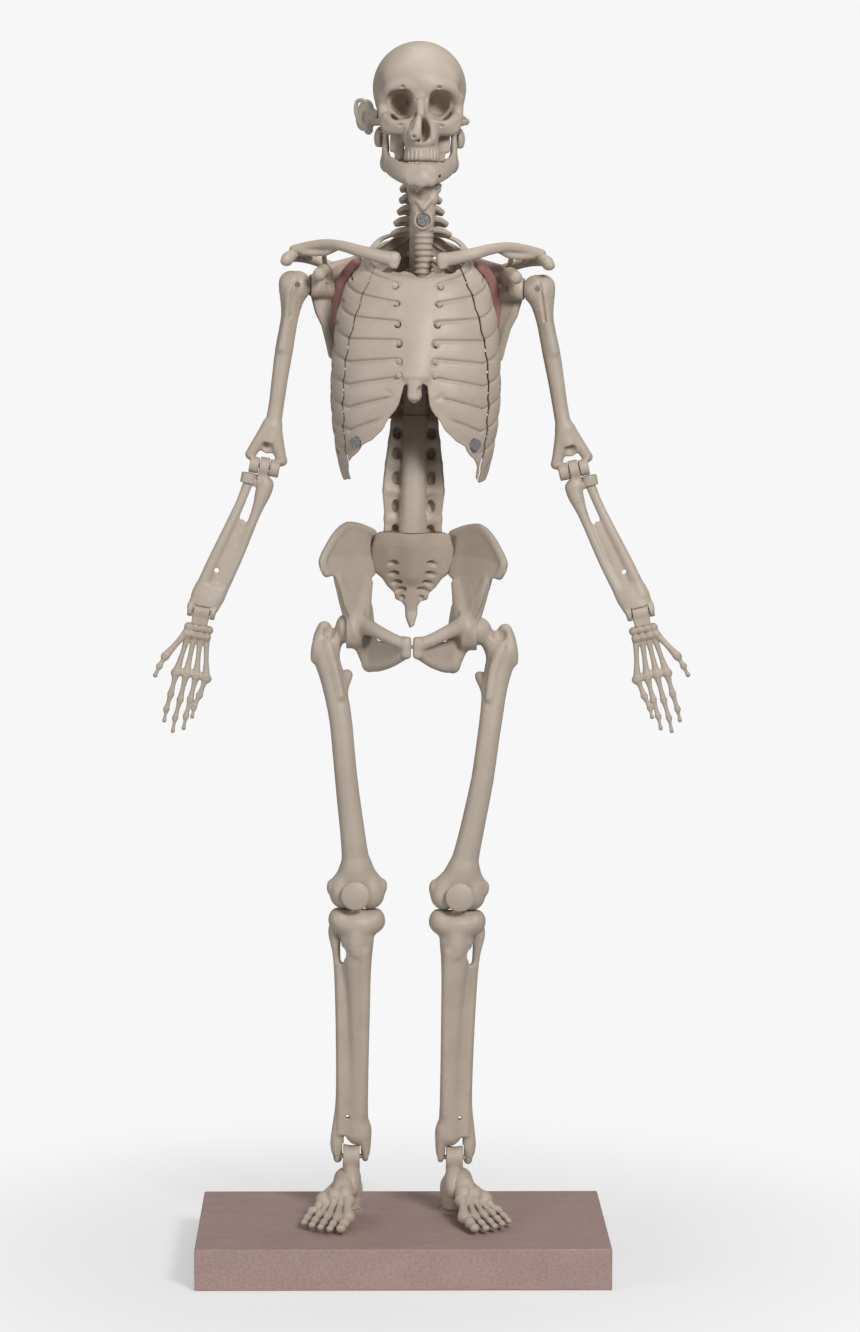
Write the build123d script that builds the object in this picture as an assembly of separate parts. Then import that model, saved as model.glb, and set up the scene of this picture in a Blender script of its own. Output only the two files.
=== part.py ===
from build123d import *
import math
import os

# All lengths in millimetres. The figure is drawn upright on a frame whose origin is the centre
# of the board's top face: X to the viewer's right, Y away from the viewer, Z up. Bones are
# drawn for the figure's left (+X) and mirrored. At the end the figure is tipped LEAN degrees
# sideways and everything is lifted by the board's thickness.

# Board
BOARD_WIDTH = 254.0
BOARD_DEPTH = 152.4
BOARD_THICK = 25.4
BOARD_EDGE = 0.6
# Figure
LEAN = 0.80
PIN = 1.5                  # radius of every hinge pin
FIT = 0.05                 # radial play of a pin in its bore
GAP = 0.4                  # space between faces that slide past each other
# Legs
ANKLE = (32.5, 14.0, 37.0)
KNEE = (31.4, 2.0, 206.0)
HIP = (39.2, 6.0, 371.0)
HEEL = (33.5, 30.0)
TOE_OUT = {"left": 19.0, "right": 14.0}
DISC_RADIUS = 9.5
DISC_THICK = 4.0
TALUS_RADIUS = 7.4
TALUS_HALF = 5.4
CONDYLE_RADIUS = 9.6
CONDYLE_HALF = 17.0
KNEE_SLOT = 3.3            # half width of the slot between the condyles
PATELLA_RADIUS = 8.5
HEAD_RADIUS = 9.2          # ball on top of the thigh bone
# How far each thigh shaft stands outward (left) or inward (right) of the mean
SHAFT_SET = {"left": 1.0, "right": -1.0}
# Trunk
SHELL_WALL = 2.2
RIB_SLOTS = 9
PLATE_SCREW = (36.8, 487.0)    # how far out and how high the breastplate screws stand
# Arms, drawn hanging below the shoulder centre and then swung outward
SHOULDER = (73.6, 12.0, 582.0)
ELBOW = (0.0, -2.0, -113.5)
WRIST = (21.9, -11.0, -208.0)
ARM_OUT = {"left": 12.8, "right": 9.6}
UPPER_BALL = 9.0
# Head
NECK_TOP = (0.0, 8.0, 667.0)
JAW_AXIS = (0.0, 3.0, 676.5)

# Chest outline: height, half width, middle depth, half depth
CAGE = [
    (616.0, 14.0, 14.0, 15.0),
    (604.0, 29.5, 9.0, 22.0),
    (585.0, 43.3, 6.0, 29.0),
    (563.0, 49.3, 4.0, 34.5),
    (535.0, 51.8, 3.0, 38.0),
    (516.0, 52.3, 3.0, 39.0),
    (497.0, 50.8, 4.0, 38.5),
    (476.0, 47.5, 6.0, 36.0),
    (458.0, 42.0, 8.0, 31.0),
]


# ---------------------------------------------------------------- building blocks
def ring(half_x, half_y):
    """Smooth closed oval face on the XY plane, always starting on +X."""
    points = []
    for step in range(12):
        angle = 2.0 * math.pi * step / 12.0
        points.append((half_x * math.cos(angle), half_y * math.sin(angle)))
    return make_face(Spline(*points, periodic=True))


def slice_at(x, y, z, half_x, half_y, turn=0.0):
    return Pos(x, y, z) * Rot(0, 0, turn) * ring(half_x, half_y)


def column(stations):
    """Bone whose cross-sections are level ovals: (z, x, y, half_x, half_y[, turn])."""
    faces = []
    for station in stations:
        z, x, y, half_x, half_y = station[:5]
        turn = station[5] if len(station) > 5 else 0.0
        faces.append(slice_at(x, y, z, half_x, half_y, turn))
    return loft(faces)


def limb(stations, across=(1, 0, 0)):
    """Bar along a path: (x, y, z, half_across, half_other), sections square to the path."""
    places = [Vector(*station[:3]) for station in stations]
    faces = []
    for index, station in enumerate(stations):
        before = places[max(index - 1, 0)]
        after = places[min(index + 1, len(places) - 1)]
        along = (after - before).normalized()
        side = Vector(*across)
        side = (side - along * side.dot(along)).normalized()
        plane = Plane(origin=places[index], x_dir=side, z_dir=along)
        faces.append(plane * ring(station[3], station[4]))
    return loft(faces)


def ball(x, y, z, radius):
    return Pos(x, y, z) * Sphere(radius)


def egg(x, y, z, half_x, half_y, half_z, turn=(0, 0, 0)):
    return Pos(x, y, z) * Rot(*turn) * scale(Sphere(1.0), by=(half_x, half_y, half_z))


def block(x, y, z, size_x, size_y, size_z, turn=(0, 0, 0)):
    return Pos(x, y, z) * Rot(*turn) * Box(size_x, size_y, size_z)


def rod_x(x0, x1, y, z, radius):
    return Pos((x0 + x1) / 2.0, y, z) * Rot(0, 90, 0) * Cylinder(radius, abs(x1 - x0))


def rod_y(y0, y1, x, z, radius):
    return Pos(x, (y0 + y1) / 2.0, z) * Rot(90, 0, 0) * Cylinder(radius, abs(y1 - y0))


def rod_z(z0, z1, x, y, radius):
    return Pos(x, y, (z0 + z1) / 2.0) * Cylinder(radius, abs(z1 - z0))


def beyond(origin, normal):
    """Large block filling the side of a plane its normal points to."""
    return Plane(origin=origin, z_dir=normal) * Pos(0, 0, 100.0) * Box(400.0, 400.0, 200.0)


def join(first, *others):
    """Everything fused in one step."""
    return first.fuse(*others)


def one(shape):
    """Largest solid of a result, dropping stray crumbs."""
    solids = shape.solids()
    return max(solids, key=lambda solid: solid.volume)


def plate(outline, y0, y1):
    """Upright slab with a front-view outline of (x, z) corners."""
    face = make_face(Polyline(*[(x, z) for x, z in outline], close=True))
    slab = extrude(face, y1 - y0)
    return Pos(0, y1, 0) * Rot(90, 0, 0) * slab


# ---------------------------------------------------------------- stand
def base_board(sides):
    board = Pos(0, 0, -BOARD_THICK / 2.0) * Box(BOARD_WIDTH, BOARD_DEPTH, BOARD_THICK)
    board = chamfer(board.edges(), BOARD_EDGE)
    for side in sides:
        x = side * HEEL[0]
        board -= rod_z(-DISC_THICK, 1.0, x, HEEL[1], DISC_RADIUS + 0.3)
        board -= rod_z(-BOARD_THICK - 1.0, 0.0, x, HEEL[1], 2.2)
        board -= rod_z(-BOARD_THICK - 1.0, -BOARD_THICK + 5.0, x, HEEL[1], 4.6)
    return board


def heel_disc():
    disc = rod_z(-DISC_THICK, 0.0, HEEL[0], HEEL[1], DISC_RADIUS)
    return disc - rod_z(-DISC_THICK - 1.0, 1.0, HEEL[0], HEEL[1], 2.2)


def heel_screw():
    screw = rod_z(-BOARD_THICK + 2.0, -BOARD_THICK + 5.0, HEEL[0], HEEL[1], 4.0)
    screw += rod_z(-BOARD_THICK + 4.0, 11.0, HEEL[0], HEEL[1], 2.0)
    return screw - block(HEEL[0], HEEL[1], -BOARD_THICK + 2.0, 6.0, 1.0, 2.0)


def foot(turn_out):
    """Foot casting: heel, instep, five toes; drawn straight ahead, then turned out."""
    heel = egg(0, 0, 11.0, 9.0, 13.0, 11.0)
    sole = rod_z(0.0, 8.0, 0, 0, 7.0)
    instep = limb([
        (0.0, 6.0, 13.0, 7.0, 8.5),
        (-0.5, -8.0, 20.0, 8.5, 10.0),
        (0.0, -20.0, 18.5, 11.0, 9.0),
        (1.0, -32.0, 14.0, 14.0, 6.5),
        (1.5, -42.0, 11.0, 14.5, 5.0),
    ])
    toes = []
    for number in range(5):
        x0 = -9.0 + 5.1 * number
        x1 = -12.5 + 6.6 * number
        reach = (-66.0, -67.0, -65.0, -61.5, -56.0)[number]
        thick = (4.4, 2.9, 2.8, 2.7, 2.8)[number]
        toes.append(limb([
            (x0, -34.0, 12.5 - 0.6 * number, 2.6, 3.0),
            (x0 * 0.5 + x1 * 0.5, (reach - 26.0) / 2.0, 9.6 - 0.5 * number, thick * 0.72, 2.7),
            (x1, reach + 7.0, 6.8, thick, 3.2),
            (x1, reach - 1.0, 6.0, thick * 0.75, 2.4),
            (x1, reach - 8.0, 5.2, thick * 0.9, 2.3),
        ]))
        toes.append(ball(x1, reach - 8.0, 5.2, 2.2))
    shape = join(instep, heel, sole, *toes)
    shape = Pos(HEEL[0], HEEL[1], 0) * Rot(0, 0, turn_out) * shape
    shape -= rod_z(-5.0, 12.0, HEEL[0], HEEL[1], 2.0 + FIT)
    return shape - block(HEEL[0], HEEL[1], -10.0, 200.0, 200.0, 20.0)


def ankle_block():
    """Upper part of the foot, squared to the leaning hinge."""
    x, y, z = ANKLE
    shape = column([
        (18.0, x - 0.3, y + 1.0, TALUS_HALF, 8.6),
        (27.0, x, y, TALUS_HALF, 7.4),
        (z, x, y, TALUS_HALF, TALUS_RADIUS - 0.3),
    ])
    return shape + rod_x(x - TALUS_HALF, x + TALUS_HALF, y, z, TALUS_RADIUS)


def ankle_room():
    """Space the fork of the leg needs beside the ankle block, and the pin bore."""
    x, y, z = ANKLE
    room = rod_x(x - 24.0, x + 24.0, y, z, 9.4) - rod_x(
        x - TALUS_HALF, x + TALUS_HALF, y, z, 12.0)
    return room + rod_x(x - 20.0, x + 20.0, y, z, PIN + FIT)


# ---------------------------------------------------------------- lower leg
def ankle_pin():
    x, y, z = ANKLE
    return rod_x(x - 10.5, x + 11.0, y, z, PIN)


def shin():
    """Shin bone, calf bone and the web between them, one casting."""
    x, y, z = ANKLE
    tibia = column([
        (50.0, 30.5, y - 0.5, 10.4, 8.2),
        (58.0, 29.0, 12.5, 8.4, 7.0),
        (74.0, 28.6, 11.0, 6.2, 6.0),
        (100.0, 28.6, 8.5, 6.2, 6.4),
        (140.0, 29.4, 5.0, 7.0, 7.6),
        (165.0, 30.2, 3.0, 9.2, 9.0),
        (178.0, 30.6, 2.4, 13.2, 10.4),
        (187.0, 31.0, 2.2, 16.2, 11.4),
        (196.2, 31.2, 2.2, 16.4, 11.2),
    ])
    fibula = limb([
        (x + 8.4, y + 1.0, z - 5.0, 3.0, 4.4),
        (x + 8.6, y + 1.0, z + 4.0, 3.4, 5.2),
        (41.0, 14.6, 55.0, 3.2, 3.6),
        (40.2, 12.6, 74.0, 2.3, 2.6),
        (40.6, 10.4, 110.0, 2.4, 2.6),
        (42.2, 8.4, 145.0, 2.5, 2.6),
        (44.4, 7.0, 170.0, 2.8, 3.0),
        (45.4, 6.6, 181.0, 3.7, 4.0),
        (45.0, 6.4, 187.0, 2.6, 3.0),
    ])
    web = plate([(30.0, 56.0), (41.0, 56.0), (42.5, 160.0), (31.0, 160.0)], 9.2, 11.2)
    inner = limb([
        (x - 8.4, y, z - 1.0, 2.4, 4.4),
        (x - 8.6, y, z + 6.0, 2.7, 5.8),
        (x - 8.0, y, z + 16.0, 3.2, 6.4),
    ])
    outer_tip = egg(x + 8.4, y + 1.0, z - 5.0, 2.95, 4.3, 2.6)
    inner_tip = egg(x - 8.4, y, z - 1.0, 2.35, 4.3, 2.4)
    shape = tibia + fibula + web + inner + outer_tip + inner_tip
    # Lug that rises into the slot of the knee
    kx, ky, kz = KNEE
    lug = rod_x(kx - KNEE_SLOT + GAP, kx + KNEE_SLOT - GAP, ky, kz, 5.6)
    lug += block(kx, ky, kz - 7.5, 2.0 * (KNEE_SLOT - GAP), 11.2, 15.0)
    shape += lug
    shape -= rod_x(kx - 20.0, kx + 20.0, ky, kz, PIN + FIT)
    for end in (-1.0, 1.0):
        near = kx + end * (KNEE_SLOT - GAP)
        shape -= rod_x(near, near + end * 16.0, ky, kz, CONDYLE_RADIUS + GAP)
    # Fork over the ankle block
    shape -= rod_x(x - TALUS_HALF - GAP, x + TALUS_HALF + GAP, y, z, TALUS_RADIUS + GAP)
    shape -= block(x, y, z - 8.0, 2.0 * (TALUS_HALF + GAP), 40.0, 16.0)
    shape -= rod_x(x - 20.0, x + 20.0, y, z, PIN + FIT)
    shape -= rod_y(-20.0, 40.0, 35.2, 63.0, 1.0)
    return one(shape)


# ---------------------------------------------------------------- thigh
def knee_pin():
    x, y, z = KNEE
    return rod_x(x - 14.5, x + 14.5, y, z, PIN)


def femur(shift):
    """Thigh bone; shift moves the middle of the shaft sideways."""
    shaft = column([
        (206.0, 31.5, 3.0, 15.0, 8.2),
        (212.0, 32.0, 2.6, 16.2, 8.4),
        (220.0, 33.2 + shift, 1.5, 11.6, 7.6),
        (232.0, 34.8 + 1.7 * shift, 0.0, 8.9, 6.8),
        (244.0, 37.2 + 2.0 * shift, -1.2, 8.0, 6.5),
        (279.0, 42.2 + 3.0 * shift, -2.5, 7.1, 6.6),
        (313.0, 46.2 + 3.3 * shift, -1.0, 6.8, 6.8),
        (338.0, 49.5 + 2.6 * shift, 3.0, 7.8, 7.4),
        (352.0, 53.0 + 2.0 * shift, 6.0, 9.0, 8.4),
        (363.0, 56.0 + 1.5 * shift, 8.0, 7.2, 8.4),
        (370.0, 56.2 + 1.2 * shift, 9.0, 5.4, 7.0),
        (374.5, 55.2 + 1.0 * shift, 9.5, 2.8, 4.4),
    ])
    neck = limb([
        (52.0, 6.5, 359.0, 7.5, 9.5),
        (47.0, 6.2, 365.0, 6.0, 6.6),
        (43.0, 6.0, 369.0, 5.6, 5.8),
        (38.0, 6.0, 371.5, 5.6, 5.8),
    ], across=(0, 1, 0))
    shape = shaft + neck + ball(*HIP, HEAD_RADIUS)
    x, y, z = KNEE
    condyles = rod_x(x - CONDYLE_HALF, x + CONDYLE_HALF, y, z, CONDYLE_RADIUS)
    condyles = fillet(condyles.edges().filter_by(GeomType.CIRCLE), 3.4)
    shape += condyles
    slot = rod_x(x - KNEE_SLOT, x + KNEE_SLOT, y, z, 6.4)
    slot += block(x, y + 1.0, z - 6.0, 2.0 * KNEE_SLOT, 26.0, 12.0)
    slot += block(x, y + 8.0, z, 2.0 * KNEE_SLOT, 16.0, 12.8)
    shape -= slot
    shape -= rod_x(x - 15.0, x + 15.0, y, z, PIN + FIT)
    shape -= rod_x(HIP[0] - 12.0, HIP[0] + 7.0, HIP[1], HIP[2], PIN + FIT)
    return one(shape)


def patella(thigh):
    disc = rod_y(-12.6, -5.0, KNEE[0] + 0.6, KNEE[2] + 0.2, PATELLA_RADIUS)
    disc = fillet(disc.edges().filter_by(GeomType.CIRCLE).sort_by(Axis.Y)[0], 1.8)
    shape = disc - thigh
    return one(shape)


def hip_pin():
    return rod_x(HIP[0] - 11.5, HIP[0] + 6.5, HIP[1], HIP[2], PIN)


# ---------------------------------------------------------------- pelvis and spine
def hip_bone():
    wing = column([
        (346.4, 24.8, 10.0, 3.0, 4.0, -57),
        (352.0, 25.4, 10.0, 7.6, 6.0, -57),
        (362.0, 28.6, 9.0, 9.5, 7.0, -57),
        (371.0, 31.0, 7.0, 11.8, 7.8, -57),
        (381.0, 32.6, 6.5, 14.5, 7.0, -57),
        (391.0, 35.0, 6.0, 21.0, 4.8, -57),
        (404.0, 39.5, 4.5, 29.0, 3.6, -57),
        (416.0, 42.8, 4.0, 31.0, 3.2, -57),
        (428.0, 42.6, 6.0, 24.0, 3.0, -57),
        (436.0, 41.6, 8.0, 12.0, 2.0, -57),
    ])
    upper = limb([
        (30.0, -4.0, 373.0, 5.5, 6.0),
        (20.0, -16.0, 370.0, 3.6, 4.2),
        (9.0, -24.0, 366.0, 3.6, 4.6),
        (1.6, -27.0, 363.0, 3.8, 7.0),
    ], across=(0, 1, 0))
    lower = limb([
        (1.6, -26.5, 361.0, 3.4, 6.0),
        (10.0, -19.0, 353.5, 2.8, 3.6),
        (18.0, -8.0, 350.0, 2.8, 3.4),
        (25.0, 6.0, 351.0, 4.0, 4.6),
    ], across=(0, 1, 0))
    rim = rod_x(30.0, 39.5, HIP[1], HIP[2], HEAD_RADIUS + 3.4)
    rim = fillet(rim.edges().filter_by(GeomType.CIRCLE), 1.4)
    shape = wing + rim + upper + lower
    shape -= ball(*HIP, HEAD_RADIUS + GAP)
    shape -= rod_x(HIP[0], HIP[0] + 20.0, HIP[1], HIP[2], HEAD_RADIUS + GAP)
    shape -= rod_x(HIP[0] - 12.0, HIP[0], HIP[1], HIP[2], PIN + FIT)
    shape -= block(-9.6, 0.0, 362.0, 20.0, 90.0, 40.0)
    shape -= rod_x(0.0, 3.5 + FIT, -27.0, 363.0, 1.1 + FIT)
    return one(shape)


def pubic_link():
    """Short pin joining the two pubic faces."""
    return rod_x(-3.5, 3.5, -27.0, 363.0, 1.1)


def sacrum_body():
    body = column([
        (430.0, 0.0, 23.0, 21.0, 9.0),
        (424.0, 0.0, 25.5, 23.0, 9.5),
        (412.0, 0.0, 30.0, 23.4, 8.6),
        (402.0, 0.0, 33.5, 20.0, 7.4),
        (392.0, 0.0, 36.0, 11.4, 5.6),
        (384.0, 0.0, 36.0, 6.0, 4.2),
        (376.0, -0.5, 33.5, 3.4, 3.0),
        (370.0, -1.0, 31.0, 1.6, 1.8),
    ])
    for level, across in ((421.0, 11.5), (412.0, 11.0), (403.5, 10.0), (395.5, 7.5)):
        depth = 16.5 + (430.0 - level) * 0.42
        for side in (-1, 1):
            body -= rod_y(depth - 12.0, depth + 1.0, side * across, level, 1.6)
    return body


def lumbar_body():
    """Five loin vertebrae with side wings, resting on the sacrum."""
    shape = column([
        (430.0, 0.0, 21.0, 9.0, 8.0),
        (446.0, 0.0, 18.0, 7.8, 7.6),
        (464.0, 0.0, 18.0, 7.6, 7.4),
        (482.0, 0.0, 20.0, 7.4, 7.4),
        (503.0, 0.0, 24.0, 7.2, 7.6),
    ])
    levels = ((437.0, 18.0), (455.0, 19.4), (471.5, 19.0), (485.0, 17.0), (497.0, 15.0))
    for level, half in levels:
        depth = 18.0 + abs(level - 455.0) * 0.12
        shape += rod_z(level - 2.8, level + 2.8, 0.0, depth, 9.0)
        shape += limb([
            (-half, depth + 8.4, level - 1.0, 2.0, 1.8),
            (-half * 0.5, depth + 7.8, level - 1.0, 2.8, 2.8),
            (0.0, depth + 7.2, level - 1.0, 3.2, 3.6),
            (half * 0.5, depth + 7.8, level - 1.0, 2.8, 2.8),
            (half, depth + 8.4, level - 1.0, 2.0, 1.8),
        ], across=(0, 0, 1))
        shape += block(0.0, depth + 14.0, level - 3.0, 2.6, 9.0, 6.0)
    shape -= block(0.0, 20.0, 415.0, 60.0, 60.0, 30.0)
    shape -= block(0.0, 20.0, 518.0, 60.0, 60.0, 30.0)
    return shape


def thoracic_body(cage):
    """Column inside the chest, ending in a flat seat for the neck."""
    shape = column([
        (503.0, 0.0, 26.0, 7.2, 8.6),
        (520.0, 0.0, 28.0, 7.0, 9.0),
        (545.0, 0.0, 28.5, 6.8, 9.0),
        (570.0, 0.6, 26.0, 6.6, 9.0),
        (592.0, 1.4, 21.0, 6.6, 8.6),
        (612.0, 2.2, 16.0, 7.4, 8.0),
    ])
    for step in range(11):
        level = 508.0 + 9.4 * step
        depth = 28.5 - 0.0019 * (level - 535.0) ** 2 + 4.0
        shape += egg(0.001 * (level - 503.0) * 20.0, depth, level, 9.0, 5.0, 2.6)
    shape -= block(0.0, 20.0, 488.0, 60.0, 80.0, 30.0)
    shape -= block(0.0, 20.0, 627.0, 60.0, 60.0, 30.0)
    return one(shape - cage)


def cervical_body():
    shape = column([
        (612.0, 2.2, 15.5, 8.4, 7.6),
        (630.0, 1.8, 10.5, 7.4, 7.0),
        (650.0, 0.8, 8.0, 7.0, 6.8),
        (666.6, 0.2, 8.0, 8.6, 7.4),
    ])
    levels = ((616.0, 18.0), (624.0, 15.2), (632.0, 13.0), (640.0, 12.2), (648.0, 12.0),
              (656.0, 12.0), (663.0, 13.0))
    for level, half in levels:
        depth = 8.0 + max(0.0, 640.0 - level) * 0.27
        drift = 2.2 * (667.0 - level) / 55.0
        shape += egg(drift, depth + 2.0, level, half, 4.4, 2.7)
        if level > 620.0:
            shape += egg(drift, depth + 9.0, level - 1.5, 2.2, 6.5, 2.5)
    shape -= block(0.0, 10.0, 597.0, 80.0, 80.0, 30.0)
    shape -= block(0.0, 10.0, 681.6, 80.0, 80.0, 30.0)
    shape -= rod_z(650.0, 670.0, NECK_TOP[0], NECK_TOP[1], PIN + FIT)
    shape -= rod_y(-20.0, 11.0, 2.7, 622.4, PIN + FIT)
    return one(shape)


def neck_pin():
    return rod_z(650.5, 680.0, NECK_TOP[0], NECK_TOP[1], PIN)


def larynx(spine, plate_front):
    """Tongue bone, voice box and ringed windpipe in one casting."""
    shape = column([
        (589.0, 3.3, -2.6, 5.6, 4.8),
        (602.0, 3.3, -4.0, 5.8, 5.2),
        (616.0, 3.1, -7.0, 5.8, 5.6),
        (622.0, 2.9, -8.4, 6.6, 6.2),
        (629.0, 2.8, -9.4, 7.4, 7.0),
        (636.0, 2.5, -9.6, 8.6, 7.0),
        (641.0, 2.3, -9.0, 9.4, 6.6),
    ])
    stalk = rod_y(-10.0, 12.0, 2.7, 622.4, 4.0)
    shape += stalk
    for step in range(7):
        level = 591.0 + 3.8 * step
        depth = -2.6 - (level - 589.0) * 0.15
        shape += Pos(3.3, depth, level) * Torus(5.2, 1.1)
    shape -= rod_y(-30.0, -13.2, 2.7, 622.4, 4.4)
    shape -= rod_y(-30.0, 30.0, 2.7, 622.4, PIN + FIT)
    return one(shape - spine - plate_front)


def larynx_screw():
    screw = rod_y(-16.0, -13.2, 2.7, 622.4, 3.6)
    screw += rod_y(-14.0, 10.5, 2.7, 622.4, PIN)
    return screw - block(2.7, -16.0, 622.4, 5.6, 2.0, 0.8, (0, 25, 0))


# ---------------------------------------------------------------- chest
def cage_solid(inset, reach):
    """Filled chest form, shrunk by inset all round and stretched by reach at both ends."""
    stations = []
    for index, (z, half_x, y, half_y) in enumerate(CAGE):
        level = z
        if index == 0:
            level = z + reach
        if index == len(CAGE) - 1:
            level = z - reach
        stations.append((level, 0.0, y, half_x - inset, half_y - inset))
    return column(stations)


def top_cut():
    """Everything above the sloping first rib."""
    return beyond((0.0, 8.0, 604.0), (0.0, -0.496, 0.868))


def hem_cut():
    """Everything below the rear shell's hem, which rises towards the spine."""
    return beyond((0.0, 8.0, 463.4), (0.0, 0.781, -0.625))


def rib_slots():
    """Narrow slanting slots between neighbouring ribs, left closed at the spine and in front."""
    slots = []
    for step in range(RIB_SLOTS):
        level = 598.0 - 13.2 * step
        for side in (-1, 1):
            slots.append(block(side * 36.0, 24.0, level, 52.0, 64.0, 1.3, (24.0, 0, 0)))
    return slots


def chest_arch():
    """Opening under the costal margin, through the front wall only."""
    outline = [(-52.0, 430.0), (-42.0, 476.0), (-33.0, 486.0), (-24.5, 496.0), (-15.0, 506.5),
               (-9.5, 522.0), (-6.6, 524.5), (-5.6, 512.0), (3.4, 512.0), (4.6, 524.5),
               (8.0, 522.0), (14.0, 506.5), (23.5, 496.0), (32.0, 486.0), (42.0, 476.0),
               (52.0, 430.0)]
    return plate(outline, -60.0, 6.0)


def seam_slab(grow):
    """Front-view outline of the removable breastplate, widened by grow."""
    half = [(612.0, 16.0), (597.0, 24.0), (587.0, 29.0), (575.0, 34.0), (560.0, 38.5),
            (545.0, 42.0), (530.0, 43.8), (512.0, 44.4), (490.0, 43.4), (470.0, 40.0), (440.0, 34.0)]
    left = [(width + grow, z) for z, width in half]
    right = [(-width - grow, z) for z, width in reversed(half)]
    return plate(left + right, -60.0, 2.0)


def breastplate_screw():
    """Screw whose washer head lies in a flat seat on the front of the breastplate."""
    x, z = PLATE_SCREW
    return rod_y(-22.8, -20.4, x, z, 3.5) + rod_y(-21.0, -14.0, x, z, 1.5)


# ---------------------------------------------------------------- shoulder girdle
def clavicle():
    shape = limb([
        (14.5, -16.0, 599.5, 4.6, 3.6),
        (22.0, -17.0, 602.0, 3.6, 3.0),
        (34.0, -16.5, 604.6, 3.3, 2.8),
        (46.0, -10.0, 608.0, 3.3, 2.8),
        (56.0, -2.0, 609.2, 3.4, 2.7),
        (66.0, 5.0, 607.8, 3.8, 2.6),
        (75.0, 9.0, 605.0, 4.2, 2.5),
    ], across=(0, 0, 1))
    shape += egg(14.5, -16.0, 599.5, 2.6, 3.5, 4.5)
    return shape


def scapula(collar):
    """Shoulder blade with its ridge, the roof over the ball and the beak."""
    sheet = Pos(47.0, 27.5, 571.0) * Rot(0, 0, -37.0) * plate(
        [(-20.0, 26.0), (-16.0, 31.0), (6.0, 26.0), (17.0, 18.0), (20.0, 6.0), (16.0, -8.0),
         (8.0, -33.0), (4.0, -35.0), (-3.0, -30.0), (-16.0, 2.0)], -1.4, 1.4)
    socket = limb([
        (52.0, 22.0, 579.0, 5.0, 8.0),
        (57.0, 17.5, 580.5, 6.0, 8.5),
        (64.5, 13.0, 582.0, 7.6, 8.6),
    ], across=(0, 1, 0))
    ridge = limb([
        (34.0, 38.0, 588.0, 1.6, 2.6),
        (50.0, 33.0, 593.0, 2.0, 4.2),
        (66.0, 27.0, 598.0, 2.4, 4.6),
        (77.0, 19.0, 599.5, 2.6, 5.4),
        (80.5, 9.0, 598.0, 2.4, 5.0),
        (80.0, 2.0, 596.5, 1.8, 3.6),
    ], across=(0, 0, 1))
    beak = limb([
        (56.0, 17.0, 588.0, 4.2, 4.6),
        (57.0, 9.0, 592.0, 3.2, 3.6),
        (59.5, 0.0, 590.5, 2.6, 3.2),
        (60.5, -5.0, 588.5, 2.2, 2.6),
    ])
    link = limb([
        (55.5, 28.0, 588.0, 1.8, 3.0),
        (58.0, 12.0, 598.0, 1.6, 3.0),
        (58.5, 3.0, 605.5, 1.6, 3.4),
    ])
    shape = sheet + socket + ridge + beak + link
    shape -= ball(*SHOULDER, UPPER_BALL + 0.6)
    shape -= rod_x(SHOULDER[0], SHOULDER[0] + 40.0, SHOULDER[1], SHOULDER[2], UPPER_BALL + 0.6)
    shape -= rod_x(50.0, SHOULDER[0], SHOULDER[1], SHOULDER[2], PIN + FIT)
    return one(shape - collar)


def muscle_pad(cage, blade, collar):
    """Pad of muscle between the chest wall and the blade."""
    shape = limb([
        (38.0, 4.0, 594.0, 5.0, 6.0),
        (43.5, 12.0, 587.0, 6.6, 8.0),
        (49.0, 18.0, 574.0, 5.6, 8.0),
        (50.5, 20.0, 560.0, 3.4, 5.0),
    ])
    shape += egg(38.0, 4.0, 594.0, 4.9, 5.9, 4.6)
    return one(shape - cage - blade - collar)


# ---------------------------------------------------------------- arm, below the shoulder centre
def shoulder_link():
    """Swivel stud: shank turns in the blade, flat eye sits in the slot of the ball."""
    shape = rod_x(-15.5, -2.2, 0.0, 0.0, PIN)
    shape += rod_y(-1.5, 1.5, 0.0, 0.0, 3.4)
    return shape - rod_y(-3.0, 3.0, 0.0, 0.0, PIN + FIT)


def shoulder_pin():
    return rod_y(-7.5, 7.5, 0.0, 0.0, PIN)


def humerus():
    shaft = column([
        (-107.0, ELBOW[0], -2.0, 11.4, 4.6),
        (-100.0, -0.2, -1.6, 8.8, 4.4),
        (-88.0, -0.6, -0.8, 5.6, 4.6),
        (-75.0, -0.4, 0.0, 4.8, 4.8),
        (-58.0, 0.4, 0.2, 5.2, 5.0),
        (-44.0, 1.0, 0.2, 5.5, 5.2),
        (-22.0, 1.2, 0.2, 5.0, 5.2),
        (-9.0, 1.8, 0.2, 7.4, 7.4),
        (0.0, 1.6, 0.2, 7.6, 7.2),
    ])
    lump = ball(4.2, -0.5, 0.6, 7.2)
    ends = rod_x(ELBOW[0] - 9.4, ELBOW[0] + 9.4, ELBOW[1], ELBOW[2], 5.0)
    inner = ball(-10.0, -0.6, -108.6, 3.6)
    outer = ball(9.8, -0.6, -107.6, 3.5)
    shape = shaft + ball(0, 0, 0, UPPER_BALL) + lump + ends + inner + outer
    # Slots: medial and upper side of the ball, and the middle of the elbow
    shape -= block(-5.0, 0.0, 5.5, 18.6, 3.8, 18.6)
    shape -= rod_y(-8.0, 8.0, 0.0, 0.0, PIN + FIT)
    shape -= rod_x(ELBOW[0] - 3.4, ELBOW[0] + 3.4, ELBOW[1], ELBOW[2], 6.4)
    shape -= rod_x(ELBOW[0] - 20.0, ELBOW[0] + 20.0, ELBOW[1], ELBOW[2], PIN + FIT)
    return one(shape)


def elbow_pin():
    return rod_x(ELBOW[0] - 9.0, ELBOW[0] + 9.0, ELBOW[1], ELBOW[2], PIN)


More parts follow.
